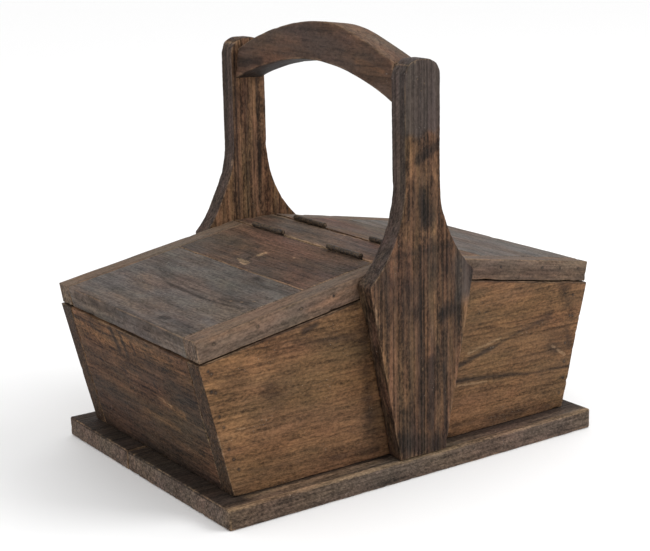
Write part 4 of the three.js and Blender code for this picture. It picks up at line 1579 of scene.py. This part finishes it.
class KINDLINGBOX_OT_uprights(bpy.types.Operator):
    """Build the two uprights"""
    bl_idname = "kindling_box.uprights"
    bl_label = "Uprights"

    def execute(self, context):
        build_uprights()
        return {"FINISHED"}


class KINDLINGBOX_OT_handle(bpy.types.Operator):
    """Build the carrying handle"""
    bl_idname = "kindling_box.handle"
    bl_label = "Handle"

    def execute(self, context):
        build_handle()
        return {"FINISHED"}


class KINDLINGBOX_OT_nails(bpy.types.Operator):
    """Build the nails of the lids, the handle and the walls"""
    bl_idname = "kindling_box.nails"
    bl_label = "Nails"

    def execute(self, context):
        build_nails()
        return {"FINISHED"}


class KINDLINGBOX_OT_hinges(bpy.types.Operator):
    """Build the hinges' leaves, screws and pins"""
    bl_idname = "kindling_box.hinges"
    bl_label = "Hinges"

    def execute(self, context):
        build_hinges()
        return {"FINISHED"}


class KINDLINGBOX_OT_stage(bpy.types.Operator):
    """Set up the floor, the soft light and the camera"""
    bl_idname = "kindling_box.stage"
    bl_label = "Stage"

    def execute(self, context):
        scene = context.scene
        world = bpy.data.worlds.new("studio")
        world.use_nodes = True
        background = world.node_tree.nodes["Background"].inputs
        background["Color"].default_value = (1.0, 1.0, 1.0, 1.0)
        background["Strength"].default_value = 1.0
        scene.world = world
        scene.view_settings.view_transform = "Standard"
        add_floor()
        add_lamp("key_lamp", LAMP_PLACE, LAMP_SIZE, LAMP_POWER)
        add_camera()
        return {"FINISHED"}


class KINDLINGBOX_PT_panel(bpy.types.Panel):
    """The sidebar panel that lists every step"""
    bl_label = "Kindling Box"
    bl_idname = "KINDLINGBOX_PT_panel"
    bl_space_type = "VIEW_3D"
    bl_region_type = "UI"
    bl_category = "Kindling Box"

    def draw(self, context):
        for step in STEPS:
            self.layout.operator(step.bl_idname)
        for settings in (context.scene.kindling_box_sizes, context.scene.kindling_box_colours):
            column = self.layout.column()
            for name in settings.__annotations__:
                column.prop(settings, name)


STEPS = (
    KINDLINGBOX_OT_base,
    KINDLINGBOX_OT_walls,
    KINDLINGBOX_OT_lids,
    KINDLINGBOX_OT_uprights,
    KINDLINGBOX_OT_handle,
    KINDLINGBOX_OT_nails,
    KINDLINGBOX_OT_hinges,
    KINDLINGBOX_OT_stage,
)
CLASSES = (KindlingBoxSizes, KindlingBoxColours, *STEPS, KINDLINGBOX_PT_panel)


def register():
    """Adds the classes, and the sizes and colours, to Blender."""
    for cls in CLASSES:
        bpy.utils.register_class(cls)
    bpy.types.Scene.kindling_box_sizes = PointerProperty(type=KindlingBoxSizes)
    bpy.types.Scene.kindling_box_colours = PointerProperty(type=KindlingBoxColours)


def unregister():
    """Takes them out again."""
    del bpy.types.Scene.kindling_box_colours
    del bpy.types.Scene.kindling_box_sizes
    for cls in reversed(CLASSES):
        bpy.utils.unregister_class(cls)


def main():
    """Runs every step in order."""
    register()
    bpy.ops.kindling_box.base()
    bpy.ops.kindling_box.walls()
    bpy.ops.kindling_box.lids()
    bpy.ops.kindling_box.uprights()
    bpy.ops.kindling_box.handle()
    bpy.ops.kindling_box.nails()
    bpy.ops.kindling_box.hinges()
    bpy.ops.kindling_box.stage()


if __name__ == "__main__":
    main()
